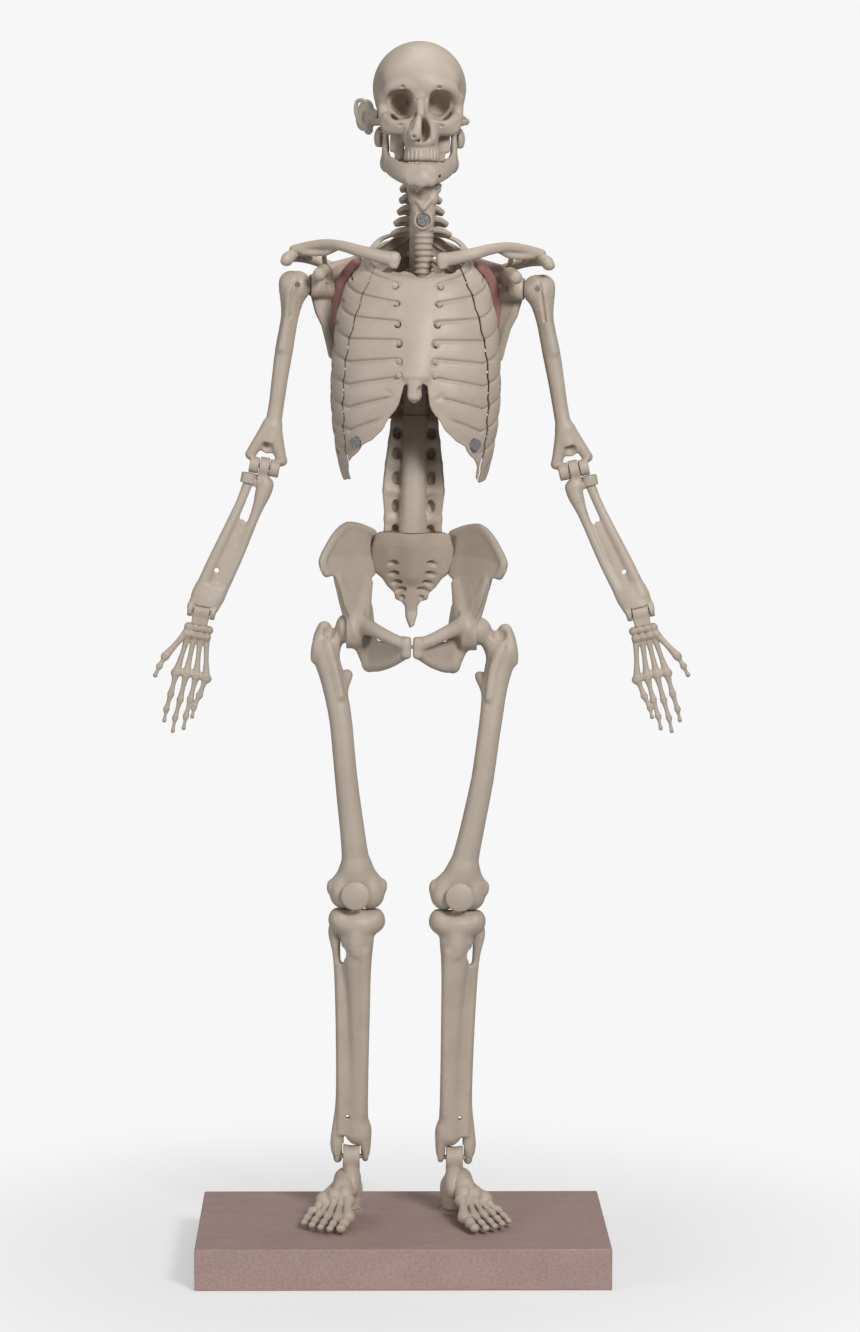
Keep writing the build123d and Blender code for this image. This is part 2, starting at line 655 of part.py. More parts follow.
def forearm():
    """Ulna, radius and the web between them, one casting."""
    x, y, z = ELBOW
    lug = rod_x(x - 3.0, x + 3.0, y, z, 5.9)
    lug += block(x, y + 0.5, z - 7.0, 6.0, 10.0, 8.0)
    ulna = limb([
        (x - 1.5, y, z - 8.5, 6.0, 4.4),
        (x - 1.4, y - 0.6, z - 14.0, 4.8, 4.0),
        (x + 0.2, y - 2.2, z - 30.0, 3.0, 3.0),
        (x + 6.0, y - 5.0, z - 60.0, 2.6, 2.8),
        (x + 13.0, y - 7.0, z - 84.0, 3.4, 3.2),
    ])
    radius = limb([
        (x + 8.8, y - 0.8, z - 9.0, 2.9, 3.2),
        (x + 10.4, y - 1.8, z - 24.0, 2.8, 2.8),
        (x + 15.0, y - 3.8, z - 42.0, 3.2, 3.0),
        (x + 20.4, y - 5.8, z - 62.0, 3.6, 3.2),
        (x + 25.2, y - 7.6, z - 84.0, 5.0, 3.8),
    ])
    radial_head = rod_z(z - 12.0, z - 6.0, x + 8.4, y - 0.4, 4.2)
    web = limb([
        (x + 7.6, y - 3.2, z - 37.0, 5.0, 0.8),
        (x + 12.6, y - 5.4, z - 60.0, 6.4, 0.8),
        (x + 19.0, y - 7.2, z - 84.0, 7.0, 0.9),
    ])
    low = column([
        (z - 81.0, x + 19.2, y - 7.2, 9.6, 4.0),
        (z - 88.0, x + 20.6, y - 8.4, 10.2, 4.4),
    ])
    cheeks = column([
        (z - 86.0, x + 20.8, y - 8.3, 9.6, 4.2),
        (WRIST[2], WRIST[0], WRIST[1], 9.0, 4.2),
    ])
    cheeks += rod_x(WRIST[0] - 8.4, WRIST[0] + 8.4, WRIST[1], WRIST[2], 4.0)
    bridge = block(x + 3.5, y, z - 10.5, 12.0, 5.0, 4.0)
    shape = join(ulna, radius, radial_head, web, low, cheeks, lug, bridge)
    for end in (-1.0, 1.0):
        near = x + end * 3.0
        shape -= rod_x(near, near + end * 18.0, y, z, 5.0 + GAP)
    shape -= rod_x(x - 20.0, x + 20.0, y, z, PIN + FIT)
    shape -= rod_x(WRIST[0] - 5.4, WRIST[0] + 5.4, WRIST[1], WRIST[2], 4.9)
    shape -= block(WRIST[0], WRIST[1], WRIST[2] - 5.0, 10.8, 12.0, 10.0)
    shape -= rod_x(WRIST[0] - 20.0, WRIST[0] + 20.0, WRIST[1], WRIST[2], PIN + FIT)
    shape -= rod_y(-60.0, 40.0, x + 17.4, z - 68.0, 1.8)
    return one(shape)


def wrist_pin():
    return rod_x(WRIST[0] - 8.0, WRIST[0] + 8.0, WRIST[1], WRIST[2], PIN)


def hand():
    """Wrist bones, palm and five fingers, palm to the front, thumb outward."""
    x, y, z = WRIST
    shape = rod_x(x - 5.0, x + 5.0, y, z, 4.4)
    shape += block(x, y, z - 4.0, 10.0, 7.0, 7.0)
    shape += limb([
        (x, y, z - 6.0, 5.6, 3.6),
        (x - 0.4, y, z - 11.0, 8.4, 3.8),
        (x - 0.6, y, z - 18.0, 10.4, 3.0),
    ])
    lengths = (70.5, 76.0, 73.0, 65.0)
    for number in range(4):
        top = x + 5.6 - 3.9 * number
        knuckle = x + 8.6 - 6.2 * number
        tip = x + 10.6 - 6.3 * number + (2.4 if number == 3 else 0.0)
        reach = lengths[number]
        shape += limb([
            (top, y, z - 15.0, 2.1, 2.2),
            ((top + knuckle) / 2.0, y - 0.2, z - 28.0, 1.5, 1.6),
            (knuckle, y - 0.4, z - 40.0, 2.6, 2.4),
            (knuckle * 0.5 + tip * 0.5, y - 1.0, z - 50.0, 1.7, 1.7),
            (tip, y - 1.6, z - reach + 12.0, 1.9, 1.8),
            (tip, y - 2.4, z - reach, 1.5, 1.4),
        ])
        shape += egg(tip, y - 2.4, z - reach, 1.45, 1.35, 2.0)
    shape += limb([
        (x - 11.6, y - 0.4, z - 41.0, 1.8, 1.4),
        (x, y - 0.4, z - 38.8, 1.9, 1.4),
        (x + 10.4, y - 0.4, z - 41.0, 1.8, 1.4),
    ], across=(0, 0, 1))
    shape += limb([
        (x + 6.0, y - 0.6, z - 12.0, 3.0, 2.6),
        (x + 13.0, y - 2.6, z - 22.0, 2.2, 2.2),
        (x + 17.4, y - 3.4, z - 31.0, 2.7, 2.5),
        (x + 21.0, y - 4.4, z - 43.0, 1.7, 1.6),
    ])
    shape += egg(x + 21.0, y - 4.4, z - 43.0, 1.65, 1.55, 2.0)
    shape -= rod_x(x - 8.0, x + 8.0, y, z, PIN + FIT)
    return one(shape)


# ---------------------------------------------------------------- head
def skull():
    vault = egg(-0.6, 6.0, 703.0, 28.6, 37.0, 28.4)
    back = egg(0.0, 14.0, 692.0, 24.0, 25.0, 20.0)
    brow = egg(0.0, -19.0, 703.0, 24.0, 13.5, 9.6)
    face = column([
        (662.0, 0.6, -21.0, 11.0, 9.0),
        (670.0, 0.4, -20.0, 14.6, 10.6),
        (680.0, 0.0, -18.0, 19.6, 11.6),
        (690.0, -0.4, -15.0, 21.4, 14.0),
        (700.0, -0.5, -11.0, 22.0, 18.0),
    ])
    teeth = column([
        (657.6, 1.2, -21.5, 9.0, 8.6),
        (664.0, 0.8, -21.5, 10.0, 9.0),
    ])
    nose = limb([
        (-0.4, -30.0, 696.0, 2.6, 3.0),
        (-0.2, -34.0, 688.0, 2.6, 2.6),
        (0.0, -37.0, 680.0, 2.6, 2.2),
    ])
    shape = vault + back + brow + face + teeth + nose
    for side in (-1, 1):
        arch = limb([
            (side * 18.0, -22.0, 680.0, 3.2, 5.0),
            (side * 24.0, -14.0, 682.0, 2.0, 4.0),
            (side * 28.0, -4.0, 682.5, 1.6, 2.6),
            (side * 26.6, 6.0, 683.0, 1.8, 3.0),
        ], across=(1, 0, 0))
        shape += arch
        shape += egg(side * 24.0, 11.0, 672.0, 4.2, 5.0, 7.0)
    shape += rod_z(667.4, 690.0, 0.0, 8.0, 9.5)
    for side in (-1, 1):
        shape -= egg(side * 11.9 - 0.6, -31.0, 692.4, 8.3, 13.0, 8.4, (0, side * 12.0, 0))
        shape -= ball(side * 12.2 - 0.4, -30.5, 679.0, 1.2)
        # Room behind the cheek for the jaw
        shape -= limb([
            (side * 20.6, 1.0, 660.0, 3.6, 9.5),
            (side * 20.8, 0.0, 684.0, 3.4, 8.5),
            (side * 21.4, -2.0, 692.0, 2.4, 6.5),
        ])
    shape -= egg(0.2, -34.0, 677.5, 5.2, 9.0, 7.0)
    shape += limb([
        (-0.2, -29.0, 686.0, 0.8, 2.0),
        (0.0, -26.0, 672.0, 0.8, 3.0),
    ])
    shape -= block(0.0, 0.0, 640.0, 90.0, 90.0, 35.2)
    shape -= block(0.0, 12.0, 662.0, 90.0, 38.0, 10.0)
    shape -= rod_z(660.0, 680.6, NECK_TOP[0], NECK_TOP[1], PIN + FIT)
    shape -= rod_x(-26.0, 26.0, JAW_AXIS[1], JAW_AXIS[2], PIN * 0.7 + FIT)
    return one(shape)


def nose_wing(head):
    """Soft half of the nose, on the figure's right."""
    shape = limb([
        (-1.4, -36.5, 682.0, 2.0, 2.4),
        (-2.6, -37.5, 676.0, 3.4, 3.4),
        (-3.0, -36.5, 671.0, 3.6, 3.4),
    ])
    return one(shape - head - ball(-4.2, -39.5, 670.6, 1.4))


def ear(head):
    shape = Pos(-34.0, 8.5, 686.0) * Rot(8, 0, -24.0) * scale(Sphere(1.0), by=(2.4, 7.4, 11.4))
    shape -= Pos(-36.6, 7.4, 687.0) * Rot(8, 0, -24.0) * scale(Sphere(1.0), by=(2.2, 4.8, 8.0))
    shape += rod_x(-34.0, -25.0, 8.0, 684.5, 3.0)
    return one(shape - head)


def jaw():
    """Lower jaw with its teeth; hinged under the temples."""
    y, z = JAW_AXIS[1], JAW_AXIS[2]
    body = None
    for side in (-1, 1):
        half = limb([
            (0.0, -31.0, 648.6, 6.4, 2.8),
            (side * 6.5, -29.4, 648.8, 6.4, 2.9),
            (side * 13.0, -22.0, 651.0, 6.2, 2.9),
            (side * 18.6, -11.0, 655.0, 6.0, 2.5),
            (side * 20.6, -3.0, 658.0, 5.4, 2.2),
        ], across=(0, 0, 1))
        ramus = column([
            (654.6, side * 20.6, -4.0, 2.3, 5.4),
            (664.0, side * 20.8, -2.6, 2.0, 6.4),
            (672.0, side * 20.8, -0.8, 1.9, 5.6),
            (z + 2.0, side * 20.8, y - 1.0, 2.0, 3.4),
        ])
        condyle = rod_x(side * 18.9, side * 22.7, y, z, 3.4)
        half = half + ramus + condyle
        body = half if body is None else body + half
    for side in (-1, 1):
        body += ball(side * 3.6, -30.9, 646.2, 3.7)
    row = column([
        (652.0, 1.0, -22.5, 10.6, 9.2),
        (657.2, 1.2, -22.3, 10.0, 8.8),
    ])
    row -= column([(645.0, 1.0, -19.0, 7.4, 9.0), (665.0, 1.0, -19.0, 7.4, 9.0)])
    row -= block(0.0, -6.0, 655.0, 40.0, 20.0, 30.0)
    body += row
    body -= rod_x(-30.0, 30.0, y, z, PIN * 0.7 + FIT)
    return one(body)


def jaw_pin():
    return rod_x(17.2, 25.2, JAW_AXIS[1], JAW_AXIS[2], PIN * 0.7)


# ---------------------------------------------------------------- placing and writing
def mirrored(shape):
    return mirror(shape, about=Plane.YZ)


def upright(shape):
    """Board and feet: lift only."""
    return Pos(0, 0, BOARD_THICK) * shape


def leaning(shape):
    """Everything above the ankles: tip sideways, then lift."""
    return Pos(0, 0, BOARD_THICK) * Rot(0, LEAN, 0) * shape


def hung(shape, side_name):
    """Arm pieces: swing outward and hang at the shoulder."""
    placed = Pos(*SHOULDER) * Rot(0, -ARM_OUT[side_name], 0) * shape
    return placed if side_name == "left" else mirrored(placed)


def both(nodes, name, shape, place):
    nodes[name + "_left"] = place(shape)
    nodes[name + "_right"] = place(mirrored(shape))


def stand(nodes):
    nodes["base_board"] = upright(base_board((-1, 1)))
    both(nodes, "heel_disc", heel_disc(), upright)
    both(nodes, "heel_screw", heel_screw(), upright)
    for side_name in ("left", "right"):
        casting = foot(TOE_OUT[side_name])
        top, room = ankle_block(), ankle_room()
        if side_name == "right":
            casting, top, room = mirrored(casting), mirrored(top), mirrored(room)
        nodes["foot_" + side_name] = one(upright(casting) + leaning(top) - leaning(room))


def legs(nodes):
    both(nodes, "ankle_pin", ankle_pin(), leaning)
    both(nodes, "shin", shin(), leaning)
    both(nodes, "knee_pin", knee_pin(), leaning)
    both(nodes, "hip_pin", hip_pin(), leaning)
    for side_name in ("left", "right"):
        thigh = femur(SHAFT_SET[side_name])
        cap = patella(thigh)
        if side_name == "right":
            thigh, cap = mirrored(thigh), mirrored(cap)
        nodes["femur_" + side_name] = leaning(thigh)
        nodes["patella_" + side_name] = leaning(cap)


def sternum():
    return limb([
        (2.0, -13.0, 592.0, 13.0, 3.4),
        (1.4, -19.0, 581.0, 9.8, 3.2),
        (0.2, -27.0, 562.0, 7.6, 3.0),
        (-0.6, -33.0, 540.0, 9.0, 3.0),
        (-1.0, -35.6, 526.0, 7.0, 3.0),
        (-1.2, -36.0, 514.0, 4.4, 2.4),
    ])


def chest():
    """Chest form filled solid, its breastplate and its rear shell."""
    filled = cage_solid(0.0, 0.0)
    hollow = filled - cage_solid(SHELL_WALL, 6.0) - top_cut() - chest_arch()
    rear = one(hollow - seam_slab(0.15) - hem_cut())
    for slot in rib_slots():
        rear = rear - slot
    front = one(hollow & seam_slab(0.0))
    return filled, one(front + sternum()), one(rear)


def trunk(nodes):
    filled, front, rear = chest()
    x, z = PLATE_SCREW
    for centre in (-x, x):
        front -= rod_y(-60.0, 0.0, centre, z, 1.5 + FIT)
        front -= rod_y(-40.0, -20.4, centre, z, 3.5 + FIT)
    screw = breastplate_screw()
    both(nodes, "breastplate_screw", screw, leaning)
    nodes["rib_cage"] = leaning(rear)
    loin = one(lumbar_body() - rear)
    nodes["lumbar_spine"] = leaning(loin)
    low = one(sacrum_body())
    nodes["sacrum"] = leaning(low)
    nodes["thoracic_spine"] = leaning(thoracic_body(rear))
    neck = cervical_body()
    nodes["cervical_spine"] = leaning(neck)
    throat = larynx(neck, front)
    front = one(front - throat)
    nodes["larynx"] = leaning(throat)
    nodes["larynx_screw"] = leaning(larynx_screw())
    nodes["neck_pin"] = leaning(neck_pin())
    pelvis = one(hip_bone() - low)
    both(nodes, "hip_bone", pelvis, leaning)
    nodes["pubic_link"] = leaning(pubic_link())
    collar = clavicle()
    collar = one(collar - front)
    blade = one(scapula(collar) - filled)
    pad = muscle_pad(filled, blade, collar)
    both(nodes, "clavicle", collar, leaning)
    both(nodes, "scapula", blade, leaning)
    nodes["muscle_pad_left"] = leaning(pad)
    nodes["muscle_pad_right"] = leaning(one(mirrored(pad) - rear))
    nodes["breastplate"] = leaning(front)


def arms(nodes):
    pieces = {"shoulder_link": shoulder_link(), "shoulder_pin": shoulder_pin(),
              "humerus": humerus(), "elbow_pin": elbow_pin(), "forearm": forearm(),
              "wrist_pin": wrist_pin(), "hand": hand()}
    for name, shape in pieces.items():
        for side_name in ("left", "right"):
            if name == "shoulder_link":
                place = Pos(*SHOULDER) * shape
                place = place if side_name == "left" else mirrored(place)
            else:
                place = hung(shape, side_name)
            nodes[name + "_" + side_name] = leaning(place)


def head(nodes):
    bone = skull()
    nodes["skull"] = leaning(bone)
    nodes["nose_wing"] = leaning(nose_wing(bone))
    nodes["ear"] = leaning(ear(bone))
    nodes["jaw"] = leaning(jaw())
    both(nodes, "jaw_pin", jaw_pin(), leaning)


def write_all():
    nodes = {}
    stand(nodes)
    legs(nodes)
    trunk(nodes)
    arms(nodes)
    head(nodes)
    os.makedirs("parts", exist_ok=True)
    for name, shape in nodes.items():
        export_step(shape, "parts/" + name + ".step")


write_all()
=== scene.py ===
import math

import bpy
import numpy as np
import openvdb
from mathutils import Matrix, Vector


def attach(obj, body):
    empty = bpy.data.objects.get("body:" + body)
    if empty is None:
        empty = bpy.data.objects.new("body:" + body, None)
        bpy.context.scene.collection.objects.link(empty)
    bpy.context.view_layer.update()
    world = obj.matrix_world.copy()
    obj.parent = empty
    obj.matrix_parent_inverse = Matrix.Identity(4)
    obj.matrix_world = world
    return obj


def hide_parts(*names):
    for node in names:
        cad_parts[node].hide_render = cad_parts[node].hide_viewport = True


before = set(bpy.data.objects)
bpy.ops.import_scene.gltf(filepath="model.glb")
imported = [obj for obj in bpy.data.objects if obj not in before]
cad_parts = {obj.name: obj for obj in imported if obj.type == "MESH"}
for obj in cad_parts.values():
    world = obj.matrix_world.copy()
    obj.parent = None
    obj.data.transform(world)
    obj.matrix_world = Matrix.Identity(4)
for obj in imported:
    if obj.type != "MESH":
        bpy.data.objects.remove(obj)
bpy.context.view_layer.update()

# Millimetres on the figure's own upright axes: origin on the board's top face, X to the
# viewer's right, Y away from the viewer, Z up. LEAN tips everything above the ankles sideways.
LEAN = math.radians(0.80)
BOARD_THICK = 25.4
PIN = 1.55
ANKLE = (32.5, 14.0, 37.0)
KNEE = (31.4, 2.0, 206.0)
HIP = (39.2, 6.0, 371.0)
SHOULDER = (73.6, 12.0, 582.0)
ELBOW = (0.0, -2.0, -113.5)
WRIST = (21.9, -11.0, -208.0)
ARM_OUT = {"left": 12.8, "right": 9.6}
TOE_OUT = {"left": 19.0, "right": 14.0}
HEEL = (33.5, 30.0)
FINE = 1.0
UPRIGHT = Matrix.Scale(0.001, 4) @ Matrix.Translation((0, 0, BOARD_THICK))
LEANING = UPRIGHT @ Matrix.Rotation(LEAN, 4, "Y")


# ------------------------------------------------------------------ clay: solids by distance
def turned_by(degrees):
    """Rotation about X, then Y, then Z."""
    turns = [Matrix.Rotation(math.radians(degrees[i]), 3, "XYZ"[i]) for i in range(3)]
    return turns[2] @ turns[1] @ turns[0]


def both_inside(a, b):
    """Distance to the region where both distances are negative."""
    outside = np.sqrt(np.maximum(a, 0.0) ** 2 + np.maximum(b, 0.0) ** 2)
    return outside + np.minimum(np.maximum(a, b), 0.0)


class Clay:
    """Soft-joined solids: each call lays on or takes away one form, in order."""

    def __init__(self):
        self.steps = []

    def _keep(self, lows, highs, blend, measure, cut):
        lows, highs = np.array(lows) - blend - 1.5, np.array(highs) + blend + 1.5
        self.steps.append((lows, highs, blend, [(lows, highs, measure)], cut))
        return self

    def tube(self, stations, blend=1.0, cut=False, flat=(1, 1, 1)):
        """Round bar through (x, y, z, radius) stations on a smooth curve; flat squeezes it."""
        flat = np.array(flat, float)
        marks = np.array([stations[0]] + list(stations) + [stations[-1]], float)
        curve = [marks[1]]
        for i in range(1, len(marks) - 2):
            a, b, c, d = marks[i - 1:i + 3]
            for t in (0.25, 0.5, 0.75, 1.0) if len(stations) > 2 else (1.0,):
                curve.append(0.5 * (2 * b + (c - a) * t + (2 * a - 5 * b + 4 * c - d) * t ** 2
                                    + (3 * b - a - 3 * c + d) * t ** 3))
        parts = []
        for a, b in zip(curve, curve[1:]):
            lows = np.minimum(a[:3] - a[3] * flat, b[:3] - b[3] * flat)
            highs = np.maximum(a[:3] + a[3] * flat, b[:3] + b[3] * flat)

            def measure(x, y, z, p=a[:3] / flat, q=b[:3] / flat, ra=a[3], rb=b[3]):
                x, y, z = x / flat[0], y / flat[1], z / flat[2]
                d = q - p
                along = ((x - p[0]) * d[0] + (y - p[1]) * d[1] + (z - p[2]) * d[2]) / max(d @ d, 1e-6)
                along = np.clip(along, 0.0, 1.0)
                gap = np.sqrt((x - p[0] - along * d[0]) ** 2 + (y - p[1] - along * d[1]) ** 2
                              + (z - p[2] - along * d[2]) ** 2)
                return (gap - ra - (rb - ra) * along) * flat.min()

            parts.append((lows - blend - 1.5, highs + blend + 1.5, measure))
        lows = np.min([part[0] for part in parts], axis=0)
        highs = np.max([part[1] for part in parts], axis=0)
        self.steps.append((lows, highs, blend, parts, cut))
        return self

    def egg(self, centre, radii, turn=(0, 0, 0), blend=1.0, cut=False):
        turned = turned_by(turn)
        back = np.array(turned.transposed())
        reach = np.full(3, max(radii))
        if not any(turn):
            reach = np.array(radii, float)
        c, r = np.array(centre, float), np.array(radii, float)

        def measure(x, y, z):
            x, y, z = x - c[0], y - c[1], z - c[2]
            u, v, w = (back[i][0] * x + back[i][1] * y + back[i][2] * z for i in range(3))
            first = np.sqrt((u / r[0]) ** 2 + (v / r[1]) ** 2 + (w / r[2]) ** 2)
            second = np.sqrt((u / r[0] ** 2) ** 2 + (v / r[1] ** 2) ** 2 + (w / r[2] ** 2) ** 2)
            return first * (first - 1.0) / np.maximum(second, 1e-6)

        return self._keep(c - reach, c + reach, blend, measure, cut)

    def slab(self, centre, half, turn=(0, 0, 0), round_by=0.5, blend=0.6, cut=False):
        turned = turned_by(turn)
        back = np.array(turned.transposed())
        c, h = np.array(centre, float), np.array(half, float)
        reach = h if not any(turn) else np.abs(np.array(turned)) @ h

        def measure(x, y, z):
            x, y, z = x - c[0], y - c[1], z - c[2]
            parts = [np.abs(back[i][0] * x + back[i][1] * y + back[i][2] * z) - h[i] + round_by
                     for i in range(3)]
            out = np.sqrt(sum(np.maximum(part, 0.0) ** 2 for part in parts))
            inside = np.minimum(np.maximum(np.maximum(parts[0], parts[1]), parts[2]), 0.0)
            return out + inside - round_by

        return self._keep(c - reach, c + reach, blend, measure, cut)

    def rod(self, p, q, radius, cut=False, blend=0.2):
        """Straight cylinder with flat ends."""
        p, q = np.array(p, float), np.array(q, float)
        axis = (q - p) / np.linalg.norm(q - p)
        middle, half = (p + q) / 2.0, np.linalg.norm(q - p) / 2.0

        def measure(x, y, z):
            x, y, z = x - middle[0], y - middle[1], z - middle[2]
            along = x * axis[0] + y * axis[1] + z * axis[2]
            off = np.sqrt(np.maximum(x * x + y * y + z * z - along * along, 0.0))
            return both_inside(off - radius, np.abs(along) - half)

        return self._keep(np.minimum(p, q) - radius, np.maximum(p, q) + radius,
                          blend, measure, cut)

    def cross(self, centre, low, high, radius, **how):
        """Rod along X from low to high, level with the centre."""
        return self.rod((low, *centre[1:]), (high, *centre[1:]), radius, **how)

    def trim(self, centre, half, blend=0.6):
        """Takes away a plain block."""
        return self.slab(centre, half, cut=True, round_by=0.1, blend=blend)

    def field(self, lows, highs, measure, blend=0.4, cut=False):
        return self._keep(lows, highs, blend, measure, cut)

    def mesh(self, step, rough=0.0):
        """Points and quads of the clay's skin."""
        step *= FINE
        adds = [s for s in self.steps if not s[4]]
        low = np.min([s[0] for s in adds], axis=0)
        high = np.max([s[1] for s in adds], axis=0)
        count = np.ceil((high - low) / step).astype(int) + 1
        axes = [low[i] + step * np.arange(count[i], dtype=np.float32) for i in range(3)]
        body = np.full(count, 3.0, dtype=np.float32)

        def window(lows, highs):
            first = np.clip(np.floor((lows - low) / step).astype(int), 0, count)
            last = np.clip(np.ceil((highs - low) / step).astype(int) + 1, 0, count)
            return first, last

        for lows, highs, blend, parts, cut in self.steps:
            first, last = window(lows, highs)
            if np.any(last <= first):
                continue
            cell = tuple(slice(a, b) for a, b in zip(first, last))
            near = np.full(last - first, 9.0, dtype=np.float32)
            for part_lows, part_highs, measure in parts:
                start, stop = window(part_lows, part_highs)
                if np.any(stop <= start):
                    continue
                x = axes[0][start[0]:stop[0]][:, None, None]
                y = axes[1][start[1]:stop[1]][None, :, None]
                z = axes[2][start[2]:stop[2]][None, None, :]
                spot = tuple(slice(a, b) for a, b in zip(start - first, stop - first))
                near[spot] = np.minimum(near[spot], measure(x, y, z))
            old = body[cell]
            if cut:
                mix = np.clip(0.5 - 0.5 * (old + near) / blend, 0.0, 1.0)
                body[cell] = old * (1 - mix) - near * mix + blend * mix * (1 - mix)
            else:
                mix = np.clip(0.5 + 0.5 * (old - near) / blend, 0.0, 1.0)
                body[cell] = old * (1 - mix) + near * mix - blend * mix * (1 - mix)
        if rough:
            x, y, z = axes[0][:, None, None], axes[1][None, :, None], axes[2][None, None, :]
            wave = np.sin(0.9 * x + 1.7 * np.sin(0.31 * z)) * np.sin(0.8 * y + 0.7 + 0.2 * z)
            body += rough * wave * np.sin(0.7 * z + 1.3 * np.sin(0.37 * x + 0.2 * y))
        body = np.clip(body, -3.0, 3.0)
        grid = openvdb.FloatGrid(3.0)
        grid.copyFromArray(body)
        points, quads = grid.convertToQuads(isovalue=0.0)
        return points * step + low, quads


# ------------------------------------------------------------------ placing
def mirrored(points, quads):
    return points * np.array([-1.0, 1.0, 1.0]), quads[:, ::-1]


def place(name, shape, matrix, nodes, body, material):
    """Turns points and quads in millimetres into a piece that stands for CAD nodes."""
    points, quads = shape
    grid = np.array(matrix)
    world = points @ grid[:3, :3].T + grid[:3, 3]
    mesh = bpy.data.meshes.new(name)
    mesh.from_pydata(world.tolist(), [], quads[:, ::-1].tolist())
    mesh.update()
    mesh.shade_smooth()
    piece = bpy.data.objects.new(name, mesh)
    bpy.context.collection.objects.link(piece)
    mesh.materials.append(MATERIALS[material])
    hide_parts(*nodes)
    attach(piece, body)


def pair(name, clay, step, bodies, material="bone", rough=0.05, warp=None):
    """One clay shape used on both sides of the figure."""
    points, quads = clay.mesh(step, rough)
    for side in ("left", "right"):
        shaped = points if warp is None else warp(points, side)
        shape = (shaped, quads) if side == "left" else mirrored(shaped, quads)
        place(name + "_" + side + "_form", shape, LEANING, [name + "_" + side],
              bodies.replace("*", side), material)


def hung_pair(name, clay, step, bodies, material="bone", rough=0.05):
    """One arm shape hung from both shoulders, each swung out by its own angle."""
    points, quads = clay.mesh(step, rough)
    for side in ("left", "right"):
        swing = Matrix.Translation(SHOULDER) @ Matrix.Rotation(
            math.radians(-ARM_OUT[side]), 4, "Y")
        grid = np.array(swing)
        hung = points @ grid[:3, :3].T + grid[:3, 3]
        shape = (hung, quads) if side == "left" else mirrored(hung, quads)
        place(name + "_" + side + "_form", shape, LEANING, [name + "_" + side],
              bodies.replace("*", side), material)


def single(name, clay, step, body, material="bone", rough=0.05):
    place(name + "_form", clay.mesh(step, rough), LEANING, [name], body, material)


# ------------------------------------------------------------------ legs
def femur():
    clay = Clay()
    clay.tube([(32.4, 1.0, 216.0, 9.4), (34.4, 0.0, 230.0, 8.2), (37.0, -1.4, 246.0, 7.5),
               (42.2, -2.5, 279.0, 6.9), (46.2, -1.0, 313.0, 6.9), (50.2, 3.0, 338.0, 7.6),
               (54.2, 6.0, 353.0, 8.2), (57.0, 8.0, 363.0, 6.2), (56.0, 9.2, 370.6, 4.4)], 4.0)
    clay.tube([(54.0, 7.0, 357.0, 7.4), (47.0, 6.2, 365.5, 5.6), (41.0, 6.0, 370.0, 5.4)], 4.0)
    clay.egg(HIP, (9.2, 9.2, 9.2), blend=1.2)
    clay.tube([(47.0, 4.0, 333.0, 4.0), (43.0, 8.0, 339.0, 3.8), (41.0, 9.6, 342.0, 3.0)], 4.0)
    clay.tube([(61.6, 5.0, 352.0, 2.4), (60.6, 3.0, 361.0, 2.4), (57.4, 5.0, 369.0, 2.4)], 3.0)
    clay.tube([(54.0, 0.0, 362.0, 1.4), (49.0, -3.0, 348.0, 1.6), (45.6, -5.6, 330.0, 1.4)], 4.0)
    for x, half in ((23.2, 8.8), (39.8, 8.6)):
        clay.egg((x, 2.0, 206.0), (half, 9.6, 9.6), blend=3.5)
        clay.egg((x, 6.0, 206.6), (half * 0.86, 8.0, 9.0), blend=3.0)
    clay.tube([(33.2, 1.0, 222.0, 8.0), (24.4, 2.4, 212.0, 7.6)], 4.0)
    clay.tube([(33.2, 1.0, 222.0, 8.0), (40.4, 2.4, 212.0, 7.4)], 4.0)
    clay.egg((15.8, 3.0, 210.5), (2.6, 4.2, 4.2), blend=2.4)
    clay.egg((48.2, 3.0, 210.0), (2.2, 4.0, 4.0), blend=2.4)
    clay.slab((31.4, 8.0, 203.0), (3.3, 14.0, 9.6), cut=True, blend=0.8)
    clay.cross(KNEE, 28.1, 34.7, 6.4, cut=True)
    clay.egg((31.4, 15.0, 209.0), (4.6, 5.0, 7.0), cut=True, blend=2.0)
    clay.egg((52.6, 3.6, 368.4), (3.6, 3.0, 3.6), cut=True, blend=2.5)
    clay.cross(KNEE, 16.0, 48.0, PIN, cut=True)
    clay.cross(HIP, 27.0, 46.5, PIN, cut=True)
    return clay


def femur_set(points, side):
    """The left thigh's shaft stands a little further out than the right one's."""
    heights = [206.0, 220.0, 244.0, 279.0, 313.0, 341.0, 371.0]
    sets = [0.0, 1.0, 2.0, 3.0, 3.3, 2.6, 0.0]
    shift = np.interp(points[:, 2], heights, sets)
    outer = np.clip((points[:, 0] - 44.0) / 8.0, 0.0, 1.0)
    high = np.clip((points[:, 2] - 322.0) / 30.0, 0.0, 1.0)
    shift = shift * (1.0 - high) + high * (2.0 * outer + shift * (1.0 - outer) * 0.6)
    moved = points.copy()
    moved[:, 0] += shift if side == "left" else -shift
    return moved


def patella():
    clay = Clay()
    clay.rod((32.4, -11.4, 206.4), (32.4, -7.9, 206.4), 8.3, blend=0.5)
    clay.egg((32.4, -11.0, 206.4), (8.7, 2.8, 8.8), blend=2.0)
    return clay


